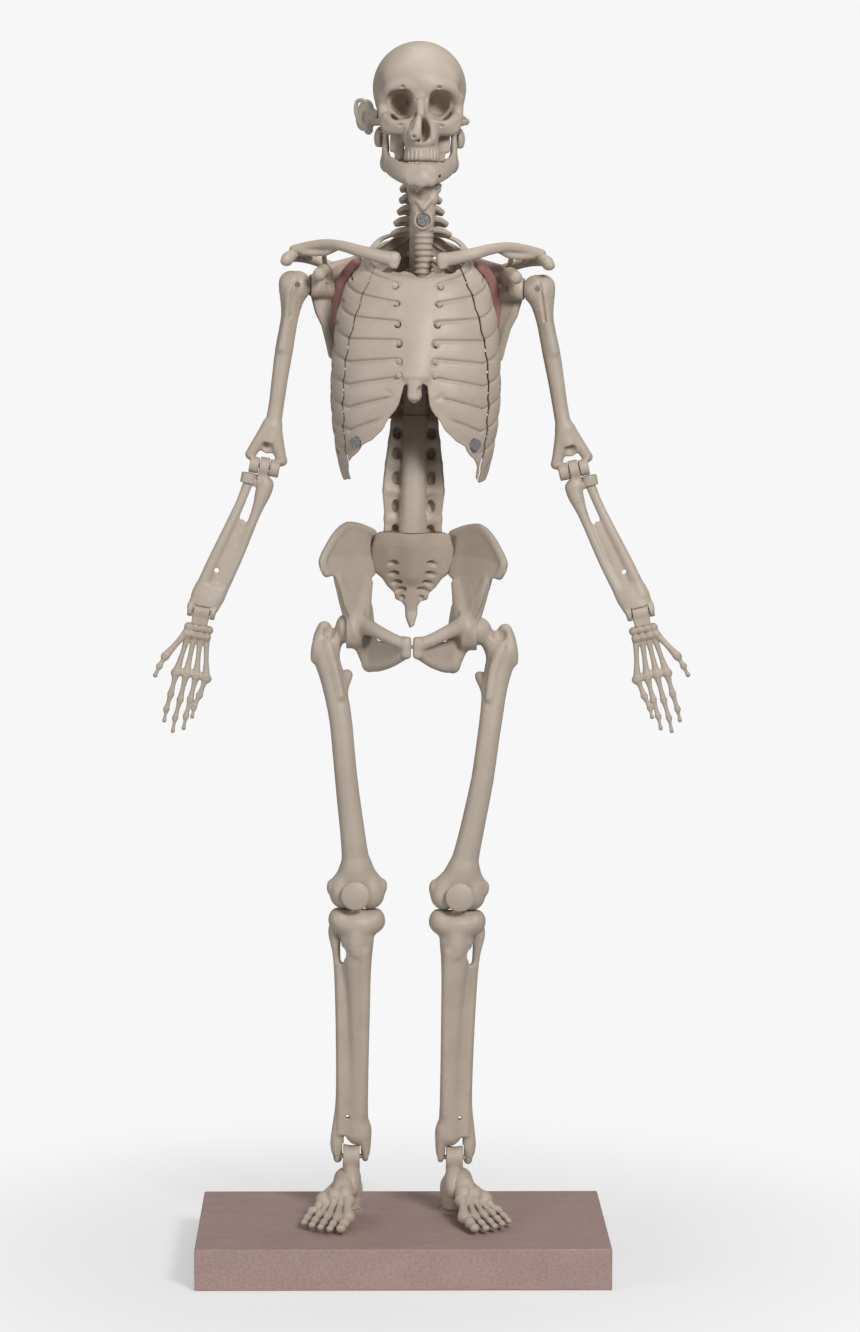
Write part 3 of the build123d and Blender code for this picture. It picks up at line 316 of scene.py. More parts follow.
def shin():
    clay = Clay()
    clay.tube([(28.8, 14.0, 52.0, 7.6), (28.6, 12.0, 66.0, 6.1), (28.6, 9.0, 100.0, 6.0),
               (29.2, 5.4, 138.0, 6.8), (30.2, 3.2, 162.0, 8.4), (30.8, 2.6, 176.0, 10.2)], 4.0)
    clay.egg((31.0, 2.4, 187.5), (16.6, 11.4, 9.0), blend=4.0)
    clay.egg((20.5, 2.4, 190.0), (6.4, 9.6, 7.0), blend=2.5)
    clay.egg((42.0, 2.4, 190.0), (6.8, 9.6, 7.0), blend=2.5)
    clay.egg((31.2, -5.8, 176.0), (3.6, 2.6, 8.0), blend=4.0)
    clay.slab((31.4, 2.0, 206.4), (24.0, 22.0, 10.0), cut=True, blend=0.8)
    clay.tube([(45.6, 6.6, 184.0, 3.0), (45.2, 6.6, 179.5, 3.7), (43.6, 7.4, 166.0, 2.4),
               (42.0, 8.6, 145.0, 2.3), (40.6, 10.6, 110.0, 2.3), (40.2, 12.6, 76.0, 2.4),
               (41.2, 14.6, 56.0, 3.5), (41.6, 15.0, 44.0, 4.2), (41.1, 15.0, 35.0, 2.6)], 1.8)
    clay.slab((36.4, 9.2, 106.0), (5.6, 2.4, 55.0), turn=(3.0, 1.2, 0), round_by=1.0, blend=3.0)
    clay.tube([(26.0, -4.6, 170.0, 2.6), (25.4, 0.6, 138.0, 2.2), (25.6, 4.6, 100.0, 1.6),
               (26.4, 8.4, 66.0, 1.0)], 4.0)
    clay.tube([(24.6, 14.0, 54.0, 6.0), (23.7, 14.0, 44.0, 4.8), (23.7, 14.0, 37.0, 3.4)],
              2.5, flat=(0.7, 1, 1))
    clay.egg((38.4, 6.0, 169.5), (2.3, 9.0, 5.6), cut=True, blend=0.8)
    clay.rod((35.2, -10.0, 63.0), (35.2, 40.0, 63.0), 1.2, cut=True)
    clay.cross(KNEE, 28.5, 34.3, 5.6)
    clay.slab((31.4, 2.0, 198.0), (2.9, 5.6, 8.0), blend=1.0)
    for low, high in ((12.0, 28.4), (34.4, 50.0)):
        clay.cross(KNEE, low, high, 10.1, cut=True)
    clay.cross(ANKLE, 26.7, 38.3, 7.9, cut=True)
    clay.trim((32.5, 14.0, 28.0), (5.8, 20.0, 9.4), 0.3)
    clay.cross(ANKLE, 10.0, 50.0, PIN, cut=True)
    clay.cross(KNEE, 20.0, 44.0, PIN, cut=True)
    return clay


def foot(side):
    """Foot on its own axes: heel centre at the origin, toes towards -Y, then turned out."""
    clay = Clay()
    clay.egg((0.0, 1.0, 10.0), (7.6, 11.0, 9.6), blend=2.0)
    clay.egg((0.4, 6.5, 12.5), (7.0, 7.0, 9.0), blend=3.0)
    clay.rod((0, 0, 0.15), (0, 0, 6.0), 7.6, blend=2.0)
    clay.tube([(-1.5, -14.0, 22.0, 7.6), (-2.4, -24.0, 19.0, 6.8)], 3.0)
    clay.tube([(2.0, -4.0, 14.0, 7.4), (4.0, -18.0, 13.5, 6.4), (7.5, -28.0, 11.5, 5.4)], 3.0)
    clay.egg((-5.4, -30.0, 16.0), (5.2, 6.0, 5.8), blend=1.8)
    clay.egg((1.6, -31.5, 15.0), (4.6, 5.6, 5.4), blend=1.8)
    clay.egg((8.4, -31.0, 12.2), (5.2, 6.4, 5.0), blend=1.8)
    reaches = (-70.0, -72.5, -70.0, -66.0, -60.5)
    for toe in range(5):
        x0 = -8.6 + 4.7 * toe
        x1 = -12.5 + 6.5 * toe
        reach = reaches[toe]
        ball = reach + 20.0
        bulk = 1.35 if toe == 0 else 1.0
        top = 13.5 - 1.0 * toe
        clay.tube([(x0, -35.0, top, 3.0 * bulk), (x0 * 0.7 + x1 * 0.3, -42.0, top - 2.0, 1.9 * bulk),
                   (x1, ball, 7.0, 2.9 * bulk)], 1.0)
        clay.tube([(x1, ball - 1.5, 6.8, 2.9 * bulk), (x1, ball - 7.0, 6.2, 1.8 * bulk),
                   (x1, ball - 11.0, 5.6, 2.5 * bulk)], 0.8)
        clay.tube([(x1, ball - 13.0, 5.4, 2.3 * bulk), (x1, reach + 3.0, 4.9, 1.8 * bulk),
                   (x1, reach + 0.6, 4.4, 2.3 * bulk)], 0.8, flat=(1, 1, 0.9))
        if toe:
            clay.tube([(x1 - 6.5, ball + 2.0, 6.6, 1.5), (x1, ball + 2.0, 6.4, 1.5)], 1.0)
    clay.trim((0, -20.0, -6.0), (60.0, 80.0, 6.1), 0.3)
    clay.rod((0, 0, -3.0), (0, 0, 12.0), 2.1, cut=True)
    points, quads = clay.mesh(0.5, 0.06)
    turn = math.radians(TOE_OUT[side])
    x = points[:, 0] * math.cos(turn) - points[:, 1] * math.sin(turn) + HEEL[0]
    y = points[:, 0] * math.sin(turn) + points[:, 1] * math.cos(turn) + HEEL[1]
    return np.stack([x, y, points[:, 2]], axis=1), quads


def ankle_top():
    """Pulley of the ankle, squared to the leaning hinge."""
    x, y, z = ANKLE
    clay = Clay()
    clay.rod((x - 5.3, y, z), (x + 5.3, y, z), 7.3, blend=0.5)
    clay.tube([(x, y, z - 5.0, 6.4), (x - 0.4, y - 1.0, z - 14.0, 7.4), (x, y - 4.0, z - 19.0, 7.0)],
              1.5, flat=(0.8, 1, 1))
    clay.egg((x, y, z + 8.0), (2.6, 12.0, 1.6), cut=True, blend=1.5)
    clay.slab((x + 15.2, y, z + 2.0), (9.8, 30.0, 13.0), cut=True, blend=0.6)
    clay.slab((x - 15.2, y, z + 2.0), (9.8, 30.0, 13.0), cut=True, blend=0.6)
    clay.rod((x - 20.0, y, z), (x + 20.0, y, z), PIN, cut=True)
    return clay


def build_legs():
    pair("femur", femur(), 0.6, "leg_upper_*", warp=femur_set)
    pair("patella", patella(), 0.45, "leg_upper_*")
    pair("shin", shin(), 0.55, "leg_lower_*")
    top = ankle_top().mesh(0.5, 0.03)
    for side in ("left", "right"):
        shape = foot(side)
        turn = shape if side == "left" else mirrored(*shape)
        place("foot_" + side + "_form", turn, UPRIGHT, ["foot_" + side], "stand", "bone")
        upper = top if side == "left" else mirrored(*top)
        place("ankle_block_" + side, upper, LEANING, ["foot_" + side], "stand", "bone")


# ------------------------------------------------------------------ trunk
def outline_gap(outline, u, v):
    """Signed distance from points (u, v) to a closed outline, negative inside."""
    nearest = np.full(np.broadcast(u, v).shape, 1e9)
    inside = np.zeros(nearest.shape, bool)
    for (ax, ay), (bx, by) in zip(outline, outline[1:] + outline[:1]):
        dx, dy = bx - ax, by - ay
        along = np.clip(((u - ax) * dx + (v - ay) * dy) / (dx * dx + dy * dy), 0.0, 1.0)
        nearest = np.minimum(nearest, (u - ax - along * dx) ** 2 + (v - ay - along * dy) ** 2)
        if ay != by:
            crosses = ((ay > v) != (by > v)) & (u < (bx - ax) * (v - ay) / (by - ay) + ax)
            inside ^= crosses
    return np.where(inside, -1.0, 1.0) * np.sqrt(nearest)


def sheet(clay, outline, depth, slope, half, round_by=1.0, blend=1.5, cut=False, room=30.0):
    """Plate seen from the front as the outline, lying along y = depth(x, z)."""
    xs, zs = [p[0] for p in outline], [p[1] for p in outline]
    middle = depth(np.mean(xs), np.mean(zs))
    lows = (min(xs) - 1.0, middle - room, min(zs) - 1.0)
    highs = (max(xs) + 1.0, middle + room, max(zs) + 1.0)

    def measure(x, y, z):
        edge = outline_gap(outline, x, z) + round_by
        thick = half(x, z) if callable(half) else half
        face = np.abs(y - depth(x, z)) / slope - thick + round_by
        return both_inside(edge, face) - round_by

    clay.field(lows, highs, measure, blend, cut)


def hip_bone():
    clay = Clay()

    def wing_depth(x, z):
        centre = np.interp(z, [371.0, 391.0, 404.0, 416.0, 436.0], [31.0, 35.0, 39.5, 42.8, 41.6])
        return 5.0 - 1.5 * (x - centre) + 0.006 * (x - centre) ** 2

    sheet(clay, [(24.0, 431.0), (33.0, 434.6), (41.0, 436.4), (45.4, 433.5), (50.6, 427.0),
                 (55.6, 419.0), (57.6, 413.5), (56.4, 408.0), (53.6, 404.4), (49.6, 404.6),
                 (46.6, 402.6), (44.4, 397.0), (42.4, 387.0), (39.0, 379.0), (36.0, 368.0),
                 (27.0, 366.0), (23.0, 374.0), (24.4, 384.0), (27.6, 391.0), (28.2, 396.0),
                 (26.4, 400.0), (22.6, 403.4), (24.2, 413.0), (24.4, 422.0), (22.8, 428.6)],
          wing_depth, 1.8, 2.0, 1.4, 2.0, room=46.0)
    crest = [(24.6, 30.0, 429.0), (33.0, 20.6, 433.0), (41.0, 7.6, 434.4), (47.6, -3.0, 429.4),
             (53.6, -12.0, 419.0), (55.4, -15.0, 413.0), (53.4, -12.4, 406.6)]
    clay.tube([(x, y, z, 2.3) for x, y, z in crest], 2.0)
    clay.tube([(27.6, 20.0, 398.0, 3.2), (31.0, 12.0, 387.0, 5.6), (34.0, 8.0, 378.0, 8.0)], 4.0)
    clay.tube([(46.0, -5.0, 402.0, 2.6), (41.6, 0.0, 388.0, 3.6), (38.0, 3.0, 380.0, 5.0)], 3.0)
    clay.cross(HIP, 30.0, 40.4, 12.4, blend=3.0)
    clay.tube([(30.0, -2.0, 374.0, 5.4), (22.0, -14.0, 371.4, 4.2), (12.0, -22.0, 367.0, 3.9),
               (4.2, -26.0, 364.4, 4.0)], 3.0)
    clay.slab((3.3, -26.4, 362.6), (2.6, 3.4, 6.4), round_by=1.6, blend=2.0)
    sheet(clay, [(5.0, 365.0), (12.0, 366.6), (15.0, 364.6), (21.0, 364.6), (24.0, 370.0), (29.0, 366.0),
                 (30.0, 354.0), (26.0, 346.6), (20.6, 349.0), (10.0, 357.6)],
          lambda x, z: -27.0 + (x - 4.0) * 1.36, 1.7, 1.7, 1.2, 2.0)
    clay.tube([(4.4, -25.6, 358.6, 3.2), (12.0, -18.0, 352.6, 2.8), (20.0, -7.0, 348.8, 3.0),
               (25.6, 4.0, 348.4, 3.9)], 2.0)
    clay.tube([(26.0, 5.0, 349.4, 4.2), (28.6, 8.0, 358.0, 5.6), (31.0, 8.0, 368.0, 7.0)], 3.0)
    clay.egg(HIP, (9.6, 9.6, 9.6), cut=True, blend=0.5)
    clay.rod(HIP, (60.0, 6.0, 371.0), 9.6, cut=True, blend=0.5)
    clay.rod((20.0, 6.0, 371.0), HIP, PIN, cut=True)
    clay.trim((-8.0, -20.0, 362.0), (8.45, 40.0, 20.0))
    clay.rod((0.0, -27.0, 363.0), (3.6, -27.0, 363.0), 1.15, cut=True)
    return clay


def sacrum():
    clay = Clay()

    def front(x, z):
        curve = np.interp(z, [368.0, 380.0, 395.0, 408.0, 422.0, 434.0],
                          [32.0, 37.0, 36.6, 31.0, 25.0, 21.0])
        return curve + 0.009 * x * x

    def thick(z):
        return np.interp(z, [368.0, 384.0, 405.0, 430.0], [2.2, 3.4, 5.4, 6.0])

    flank = [(9.0, 433.0), (19.0, 430.5), (23.4, 428.4), (25.6, 420.0), (25.6, 412.0), (23.0, 404.0),
             (18.6, 400.4), (15.4, 395.6), (11.0, 391.4), (10.0, 387.4)]
    tail = [(5.6, 386.0), (4.0, 383.4), (3.8, 378.0), (1.8, 371.0), (-1.0, 369.6), (-3.6, 376.0),
            (-4.0, 382.6), (-6.0, 385.6)]
    sheet(clay, flank + tail + [(-x, z) for x, z in reversed(flank)],
          front, 1.1, lambda x, z: thick(z), 1.6, 1.0, room=30.0)
    clay.tube([(0.0, 21.4, 440.0, 8.8), (0.0, 23.0, 428.0, 9.0), (0.0, 28.0, 416.0, 7.6),
               (0.0, 32.0, 406.0, 6.0)], 5.0)
    for level, across in ((410.5, 13.6), (403.8, 13.0), (398.0, 11.4), (392.8, 9.4)):
        for side in (-1, 1):
            near = front(across, level) - 1.1 * thick(level)
            clay.tube([(side * (across - 5.0), near + 0.6, level + 1.4, 1.4),
                       (side * (across - 1.6), near + 0.2, level + 0.4, 1.8),
                       (side * (across + 4.0), near - 0.2, level - 2.6, 0.8)], 1.0, cut=True)
    for side in (-1, 1):
        clay.egg((side * 6.0, front(6.0, 388.0) - 3.6, 388.6), (1.7, 1.6, 1.7), cut=True, blend=1.0)
        clay.tube([(side * 8.0, 40.0, 424.0, 3.0), (side * 6.4, 44.0, 404.0, 2.4),
                   (side * 4.0, 42.0, 390.0, 1.8)], 2.0)
    clay.tube([(0.0, 38.0, 428.0, 3.0), (0.0, 44.0, 410.0, 2.6), (0.0, 43.0, 392.0, 2.0)], 2.0)
    clay.trim((0.0, 25.0, 444.0), (30.0, 40.0, 14.0), 0.2)
    return clay


def lumbar():
    clay = Clay()
    clay.tube([(0.0, 21.0, 430.0, 9.0), (0.0, 18.0, 446.0, 7.7), (0.0, 18.0, 464.0, 7.5),
               (0.0, 20.0, 482.0, 7.3), (0.0, 24.0, 503.0, 7.2)], 2.0)
    flank = [(14.0, 503.0), (17.0, 480.0), (19.0, 462.0), (19.0, 452.0), (17.6, 438.0), (18.4, 430.0)]
    sheet(clay, flank + [(-x, z) for x, z in reversed(flank)],
          lambda x, z: 26.4 + abs(z - 455.0) * 0.11 - 0.010 * x * x, 1.05, 3.8, 1.8, 2.0)
    for level in (437.0, 455.0, 471.5, 485.0, 497.0):
        depth = 27.0 + abs(level - 455.0) * 0.11
        half = np.interp(level, [430.0, 455.0, 500.0], [17.0, 18.0, 13.0])
        for side in (-1, 1):
            clay.tube([(side * 6.0, depth - 4.0, level + 1.0, 3.2),
                       (side * (half - 2.0), depth - 4.6, level + 1.2, 2.2)], 3.4)
            clay.egg((side * 9.4, depth + 5.0, level - 4.0), (3.0, 4.0, 5.0), blend=2.0)
        clay.slab((0.0, depth + 8.4, level - 3.0), (1.4, 5.4, 4.0), round_by=1.0, blend=1.5)
    for level, deep in ((446.6, 3.0), (463.6, 3.0), (478.6, 2.8), (491.0, 2.6), (431.6, 3.0)):
        depth = 23.4 + abs(level - 455.0) * 0.11
        for side in (-1, 1):
            clay.egg((side * 10.9, depth - 0.6, level), (2.6, 3.4, 4.2), cut=True, blend=1.0)
    clay.trim((0.0, 25.0, 417.0), (30.0, 40.0, 13.0), 0.2)
    clay.trim((0.0, 25.0, 516.0), (30.0, 40.0, 13.0), 0.2)
    return clay


RIB_SLOTS = 9
CAGE_WALL = 2.2
CAGE_ROOM = ((-60.0, -60.0, 440.0), (60.0, 60.0, 630.0))
PLATE_SCREW = (36.8, 487.0)
CAGE_Z = [450.0, 458.0, 476.0, 497.0, 516.0, 535.0, 563.0, 585.0, 604.0, 616.0, 622.0]
CAGE_X = [39.0, 42.0, 47.5, 50.8, 52.3, 51.8, 49.3, 43.3, 29.5, 14.0, 8.0]
CAGE_MID = [9.0, 8.0, 6.0, 4.0, 3.0, 3.0, 4.0, 6.0, 9.0, 14.0, 16.0]
CAGE_Y = [28.0, 31.0, 36.0, 38.5, 39.0, 38.0, 34.5, 29.0, 22.0, 15.0, 10.0]
SEAM_Z = [440.0, 470.0, 490.0, 512.0, 530.0, 545.0, 560.0, 575.0, 587.0, 597.0, 612.0]
SEAM_X = [34.0, 40.0, 43.4, 44.4, 43.8, 42.0, 38.5, 34.0, 29.0, 24.0, 16.0]


def cage_wall(x, y, z):
    """Signed distance to the chest's ribbed outer face."""
    wide, mid, deep = (np.interp(z, CAGE_Z, row) for row in (CAGE_X, CAGE_MID, CAGE_Y))
    u, v = x / wide, (y - mid) / deep
    first = np.sqrt(u * u + v * v)
    second = np.sqrt((u / wide) ** 2 + (v / deep) ** 2)
    around = np.degrees(np.arctan2(np.abs(u), -v))
    top = np.interp(around, [0, 14, 53, 90, 180], [583.0, 583.3, 590.8, 600.0, 632.0])
    pitch = np.interp(around, [0, 14, 53, 90, 180], [11.3, 11.3, 13.8, 13.8, 13.0])
    rib = (top - z) / pitch
    part = rib - np.floor(rib)
    reach = np.interp(np.abs(x), [9.0, 12.5], [0.0, 1.0])
    reach = np.where(y > 0.0, 1.0, reach)
    margin = np.abs(x) - np.interp(z, [460.0, 478.0, 489.0, 499.0, 511.0, 524.0, 530.0],
                                   [41.0, 36.0, 24.0, 16.0, 9.0, 6.0, 0.0])
    reach = reach * np.where(y > 0.0, 1.0, np.clip((margin - 5.0) / 5.0, 0.0, 1.0))
    near = np.minimum(part, 1.0 - part) * pitch
    swell = 0.75 * np.sin(np.pi * np.clip(part, 0, 1)) ** 0.6 - 0.35
    groove = 1.15 * np.exp(-(near / 0.95) ** 2)
    wall = first * (first - 1.0) / np.maximum(second, 1e-6)
    return wall - reach * (swell - groove)


def cage_shell(clay):
    def measure(x, y, z):
        wall = cage_wall(x, y, z)
        return np.maximum(wall, -(wall + CAGE_WALL))

    clay.field((-56.0, -38.0, 456.0), (56.0, 45.0, 624.0), measure, 0.4)


def arch_cut(clay):
    """Opening under the costal margin with the tongue of the breastbone left in it."""
    def opening(x, y, z):
        ripple = 0.9 * np.sin((z - 470.0) * 0.42)
        left = np.interp(z, [455.0, 466.0, 478.0, 485.6, 489.0, 499.0, 504.6, 511.0, 522.5, 526.0],
                         [40.5, 38.6, 36.0, 30.0, 23.6, 16.2, 10.6, 8.0, 6.4, -2.0])
        left = left + np.where(z < 508.0, ripple, 0.0)
        right = left + np.interp(z, [470.0, 490.0, 505.0, 522.0], [3.0, 1.6, 3.2, 1.2])
        half = np.where(x > 0, left, right)
        tongue = np.abs(x + 1.2) - np.interp(z, [511.6, 513.6, 516.0, 522.0, 528.0],
                                             [0.0, 3.4, 4.4, 4.2, 6.0])
        tongue = np.where(z < 511.6, 5.0, tongue)
        return np.maximum(np.maximum(np.abs(x) - half, y - 2.0), np.maximum(-tongue, z - 525.6))

    clay.field((-50.0, -60.0, 440.0), (50.0, 4.0, 527.0), opening, 0.6, cut=True)


def top_and_tips(clay):
    clay.field((-60.0, -60.0, 575.0), (60.0, 60.0, 640.0),
               lambda x, y, z: (604.0 - z) * 0.868 + (y - 8.0) * 0.496, 0.8, cut=True)
    clay.field((-60.0, -60.0, 440.0), (60.0, 60.0, 520.0),
               lambda x, y, z: z - (463.4 + 0.5 * np.sin(0.9 * x) + np.clip(y - 8.0, 0, 60) * 1.12
                                    + np.clip(np.abs(x) - 46.0, 0, 9) * 1.8), 0.8, cut=True)


def front_half(x, y, z, gap):
    half = np.interp(z, SEAM_Z, SEAM_X)
    step = 0.5 * np.sin(z * 0.46) * np.abs(np.sin(z * 0.23))
    return np.maximum(np.abs(x) - half - step + gap, y - 2.0)


def chest_front():
    clay = Clay()
    cage_shell(clay)
    clay.slab((0.0, -14.0, 586.0), (16.5, 3.0, 10.0), turn=(-32.0, 0, 0), round_by=2.4, blend=4.0)
    spine = [(1.8, -13.2, 589.0, 4.0), (1.4, -19.0, 578.0, 4.0), (0.6, -26.6, 560.0, 3.6),
             (0.0, -32.0, 542.0, 3.6), (-0.6, -35.0, 528.0, 3.4)]
    clay.tube(spine, 3.0, flat=(2.3, 1, 1))
    clay.tube([(-1.0, -36.0, 524.0, 2.2), (-1.2, -36.4, 515.4, 2.2)], 1.6, flat=(1.9, 1, 1))
    for number, level in enumerate((581.5, 571.0, 559.0, 547.6, 536.6, 528.2)):
        across = 13.4 - 0.8 * min(number, 3)
        depth = -float(np.interp(level, [528.0, 540.0, 560.0, 585.0], [35.6, 33.4, 28.6, 20.4]))
        for side in (-1, 1):
            clay.egg((side * across, depth, level - 0.4), (2.2, 1.7, 2.3), cut=True, blend=1.2)
            clay.egg((side * (across + 0.2), depth + 0.9, level - 0.2), (1.6, 1.5, 1.6), blend=0.8)
    for side, level, across in ((-1, 518.4, 17.6), (1, 515.6, 15.0)):
        clay.egg((side * across, -35.2, level), (3.6, 1.5, 2.2), turn=(0, -side * 38.0, 0), cut=True,
                 blend=1.0)
    clay.field((-20, -60, 580), (20, 20, 610),
               lambda x, y, z: np.where(np.abs(x - 1.8) < 6.0, 588.0 + 0.075 * (x - 1.8) ** 2,
                                        591.0 + 0.5 * np.cos(x * 0.8)) - z + 0.0 * y, 1.0, cut=True)
    clay.egg((1.6, -36.4, 519.0), (1.6, 2.0, 3.2), cut=True, blend=1.0)
    arch_cut(clay)
    top_and_tips(clay)
    for side, gap in ((1, 0.5), (-1, 0.2)):
        clay.field(*CAGE_ROOM,
                   lambda x, y, z, s=side, g=gap: np.where(x * s > 0, -front_half(x, y, z, g), 9.0),
                   0.15, cut=True)
    screw_x, screw_z = PLATE_SCREW
    for side in (-1, 1):
        for near, far, radius in ((-40.0, -20.5, 3.7), (-24.0, -10.0, PIN)):
            clay.rod((side * screw_x, near, screw_z), (side * screw_x, far, screw_z), radius, cut=True)
    return clay


def chest_rear():
    clay = Clay()
    cage_shell(clay)
    # First pair of ribs, arching over the top of the shell
    clay.tube([(-22.0, 0.0, 600.0, 1.9), (-28.0, 9.0, 604.4, 2.0), (-22.0, 22.0, 612.0, 2.0),
               (-12.0, 27.0, 616.0, 2.2)], 1.5)
    clay.tube([(24.0, 0.0, 599.6, 1.9), (29.6, 9.0, 604.8, 2.0), (23.4, 22.0, 612.0, 2.0),
               (12.0, 27.0, 616.0, 2.2)], 1.5)
    top_and_tips(clay)
    clay.field(*CAGE_ROOM, lambda x, y, z: front_half(x, y, z, -0.15), 0.15, cut=True)
    for step in range(RIB_SLOTS):
        level = 598.0 - 13.2 * step
        for side in (-1, 1):
            clay.slab((side * 36.0, 24.0, level), (26.0, 32.0, 0.65), turn=(24.0, 0, 0),
                      round_by=0.3, blend=0.5, cut=True)
    return clay


def clavicle():
    clay = Clay()
    clay.tube([(15.4, -16.0, 598.4, 4.5), (22.0, -17.0, 599.8, 4.1), (34.0, -16.5, 602.6, 3.7),
               (46.0, -10.0, 606.0, 3.2), (56.0, -2.0, 607.2, 3.0), (66.0, 5.0, 606.0, 3.0),
               (76.0, 9.0, 603.6, 2.9)], 2.0)
    clay.slab((14.4, -16.0, 597.8), (2.6, 4.2, 5.0), turn=(0, -8, 0), round_by=1.4, blend=2.0)
    clay.tube([(50.0, -5.0, 604.8, 1.8), (56.0, -1.0, 602.0, 1.8), (62.0, 3.0, 601.6, 2.0),
               (70.0, 7.0, 602.4, 2.4)], 1.6)
    return clay


def scapula():
    clay = Clay()
    turn = math.radians(-37.0)

    def blade(x, y, z):
        along = (x - 47.0) * math.cos(turn) + (y - 27.5) * math.sin(turn)
        across = -(x - 47.0) * math.sin(turn) + (y - 27.5) * math.cos(turn)
        edge = outline_gap([(-20, 26), (-16, 31), (6, 26), (17, 18), (20, 6), (17, -6), (13, -14),
                            (8, -33), (4, -36), (-1, -33), (-16, 2)], along, z - 571.0) + 0.8
        rim = 0.5 * np.clip(1.0 - np.abs(edge + 2.0) / 2.4, 0.0, 1.0)
        face = np.abs(across - 0.012 * along ** 2 + 0.6) - 1.3 - rim + 0.8
        return both_inside(edge, face) - 0.8

    clay.field((26.0, 8.0, 533.0), (68.0, 48.0, 604.0), blade, 1.0)
    clay.tube([(50.0, 23.0, 578.0, 4.6), (57.0, 17.5, 580.5, 5.6), (62.5, 14.0, 582.0, 7.4)], 3.0)
    clay.tube([(34.0, 38.0, 588.0, 1.8), (50.0, 33.0, 593.0, 3.0), (66.0, 27.0, 598.0, 3.0),
               (76.0, 19.0, 599.4, 3.2), (79.4, 9.0, 598.4, 3.4), (79.6, 1.0, 596.8, 3.2)],
              2.0, flat=(1, 1.4, 1))
    clay.tube([(76.0, 9.0, 601.0, 3.0), (79.4, 4.0, 598.6, 3.4), (81.4, -1.0, 596.4, 2.6)], 2.0)
    clay.tube([(56.0, 17.0, 588.0, 4.4), (56.6, 9.0, 591.4, 3.8), (58.6, 1.0, 590.6, 3.6),
               (60.2, -4.6, 588.6, 3.9)], 2.0)
    clay.tube([(55.5, 28.0, 589.0, 1.8), (57.0, 18.0, 596.6, 1.6), (58.0, 6.0, 603.0, 1.6)], 2.0)
    clay.tube([(66.0, 20.0, 599.0, 1.6), (70.0, 10.0, 601.6, 1.5)], 1.6)
    clay.egg(SHOULDER, (9.7, 9.7, 9.7), cut=True, blend=0.4)
    clay.rod(SHOULDER, (110.0, 12.0, 582.0), 9.7, cut=True, blend=0.4)
    clay.rod((50.0, 12.0, 582.0), SHOULDER, PIN, cut=True)
    return clay


def muscle_pad():
    clay = Clay()
    clay.tube([(38.0, 5.0, 594.0, 4.6), (42.5, 14.0, 586.0, 6.2), (46.5, 22.0, 574.0, 6.0),
               (48.5, 24.0, 560.0, 3.6)], 3.0)

    clay.field((20.0, -10.0, 545.0), (62.0, 40.0, 605.0),
               lambda x, y, z: cage_wall(x, y, z) - 0.1, 0.2, cut=True)
    return clay


# ------------------------------------------------------------------ arms, hung from the shoulder
def humerus():
    clay = Clay()
    clay.egg((0, 0, 0), (9, 9, 9), blend=1.0)
    clay.egg((4.6, -0.6, 0.4), (7.0, 7.0, 7.4), blend=1.5)
    clay.tube([(2.0, 0.2, -6.0, 8.0), (1.2, 0.2, -20.0, 5.4), (1.0, 0.2, -40.0, 5.5),
               (0.4, 0.2, -58.0, 5.0), (-0.4, 0.0, -75.0, 4.7), (-0.6, -0.8, -88.0, 5.0),
               (0.0, -1.6, -100.0, 5.2)], 3.0)
    clay.tube([(3.0, -6.0, -4.0, 2.6), (2.2, -4.6, -22.0, 2.2), (2.4, -4.0, -40.0, 2.0)], 3.0)
    clay.tube([(-2.0, -1.0, -88.0, 4.0), (-8.0, -0.8, -104.0, 3.6), (-10.0, -0.6, -108.0, 3.4)], 2.5)
    clay.tube([(2.0, -1.2, -88.0, 4.0), (8.0, -0.8, -103.0, 3.4), (9.8, -0.6, -107.6, 3.3)], 2.5)
    clay.cross(ELBOW, -9.2, 9.2, 5.0, blend=1.5)
    clay.cross(ELBOW, -9.2, -3.6, 5.2, blend=0.8)
    clay.egg((0.2, -3.8, -101.0), (3.4, 2.6, 3.6), cut=True, blend=2.0)
    clay.egg((0.2, 4.4, -102.0), (4.0, 3.0, 5.0), cut=True, blend=2.0)
    clay.tube([(2.2, -8.6, 6.0, 1.0), (1.2, -8.2, -6.0, 1.2), (0.8, -6.0, -20.0, 0.7)], 1.6, cut=True)
    clay.slab((-5.0, 0.0, 5.5), (9.3, 1.9, 9.3), cut=True, round_by=0.2, blend=0.3)
    clay.rod((0.0, -10.0, 0.0), (0.0, 10.0, 0.0), PIN, cut=True)
    clay.cross(ELBOW, -3.4, 3.4, 6.4, cut=True)
    clay.cross(ELBOW, -20.0, 20.0, PIN, cut=True)
    return clay


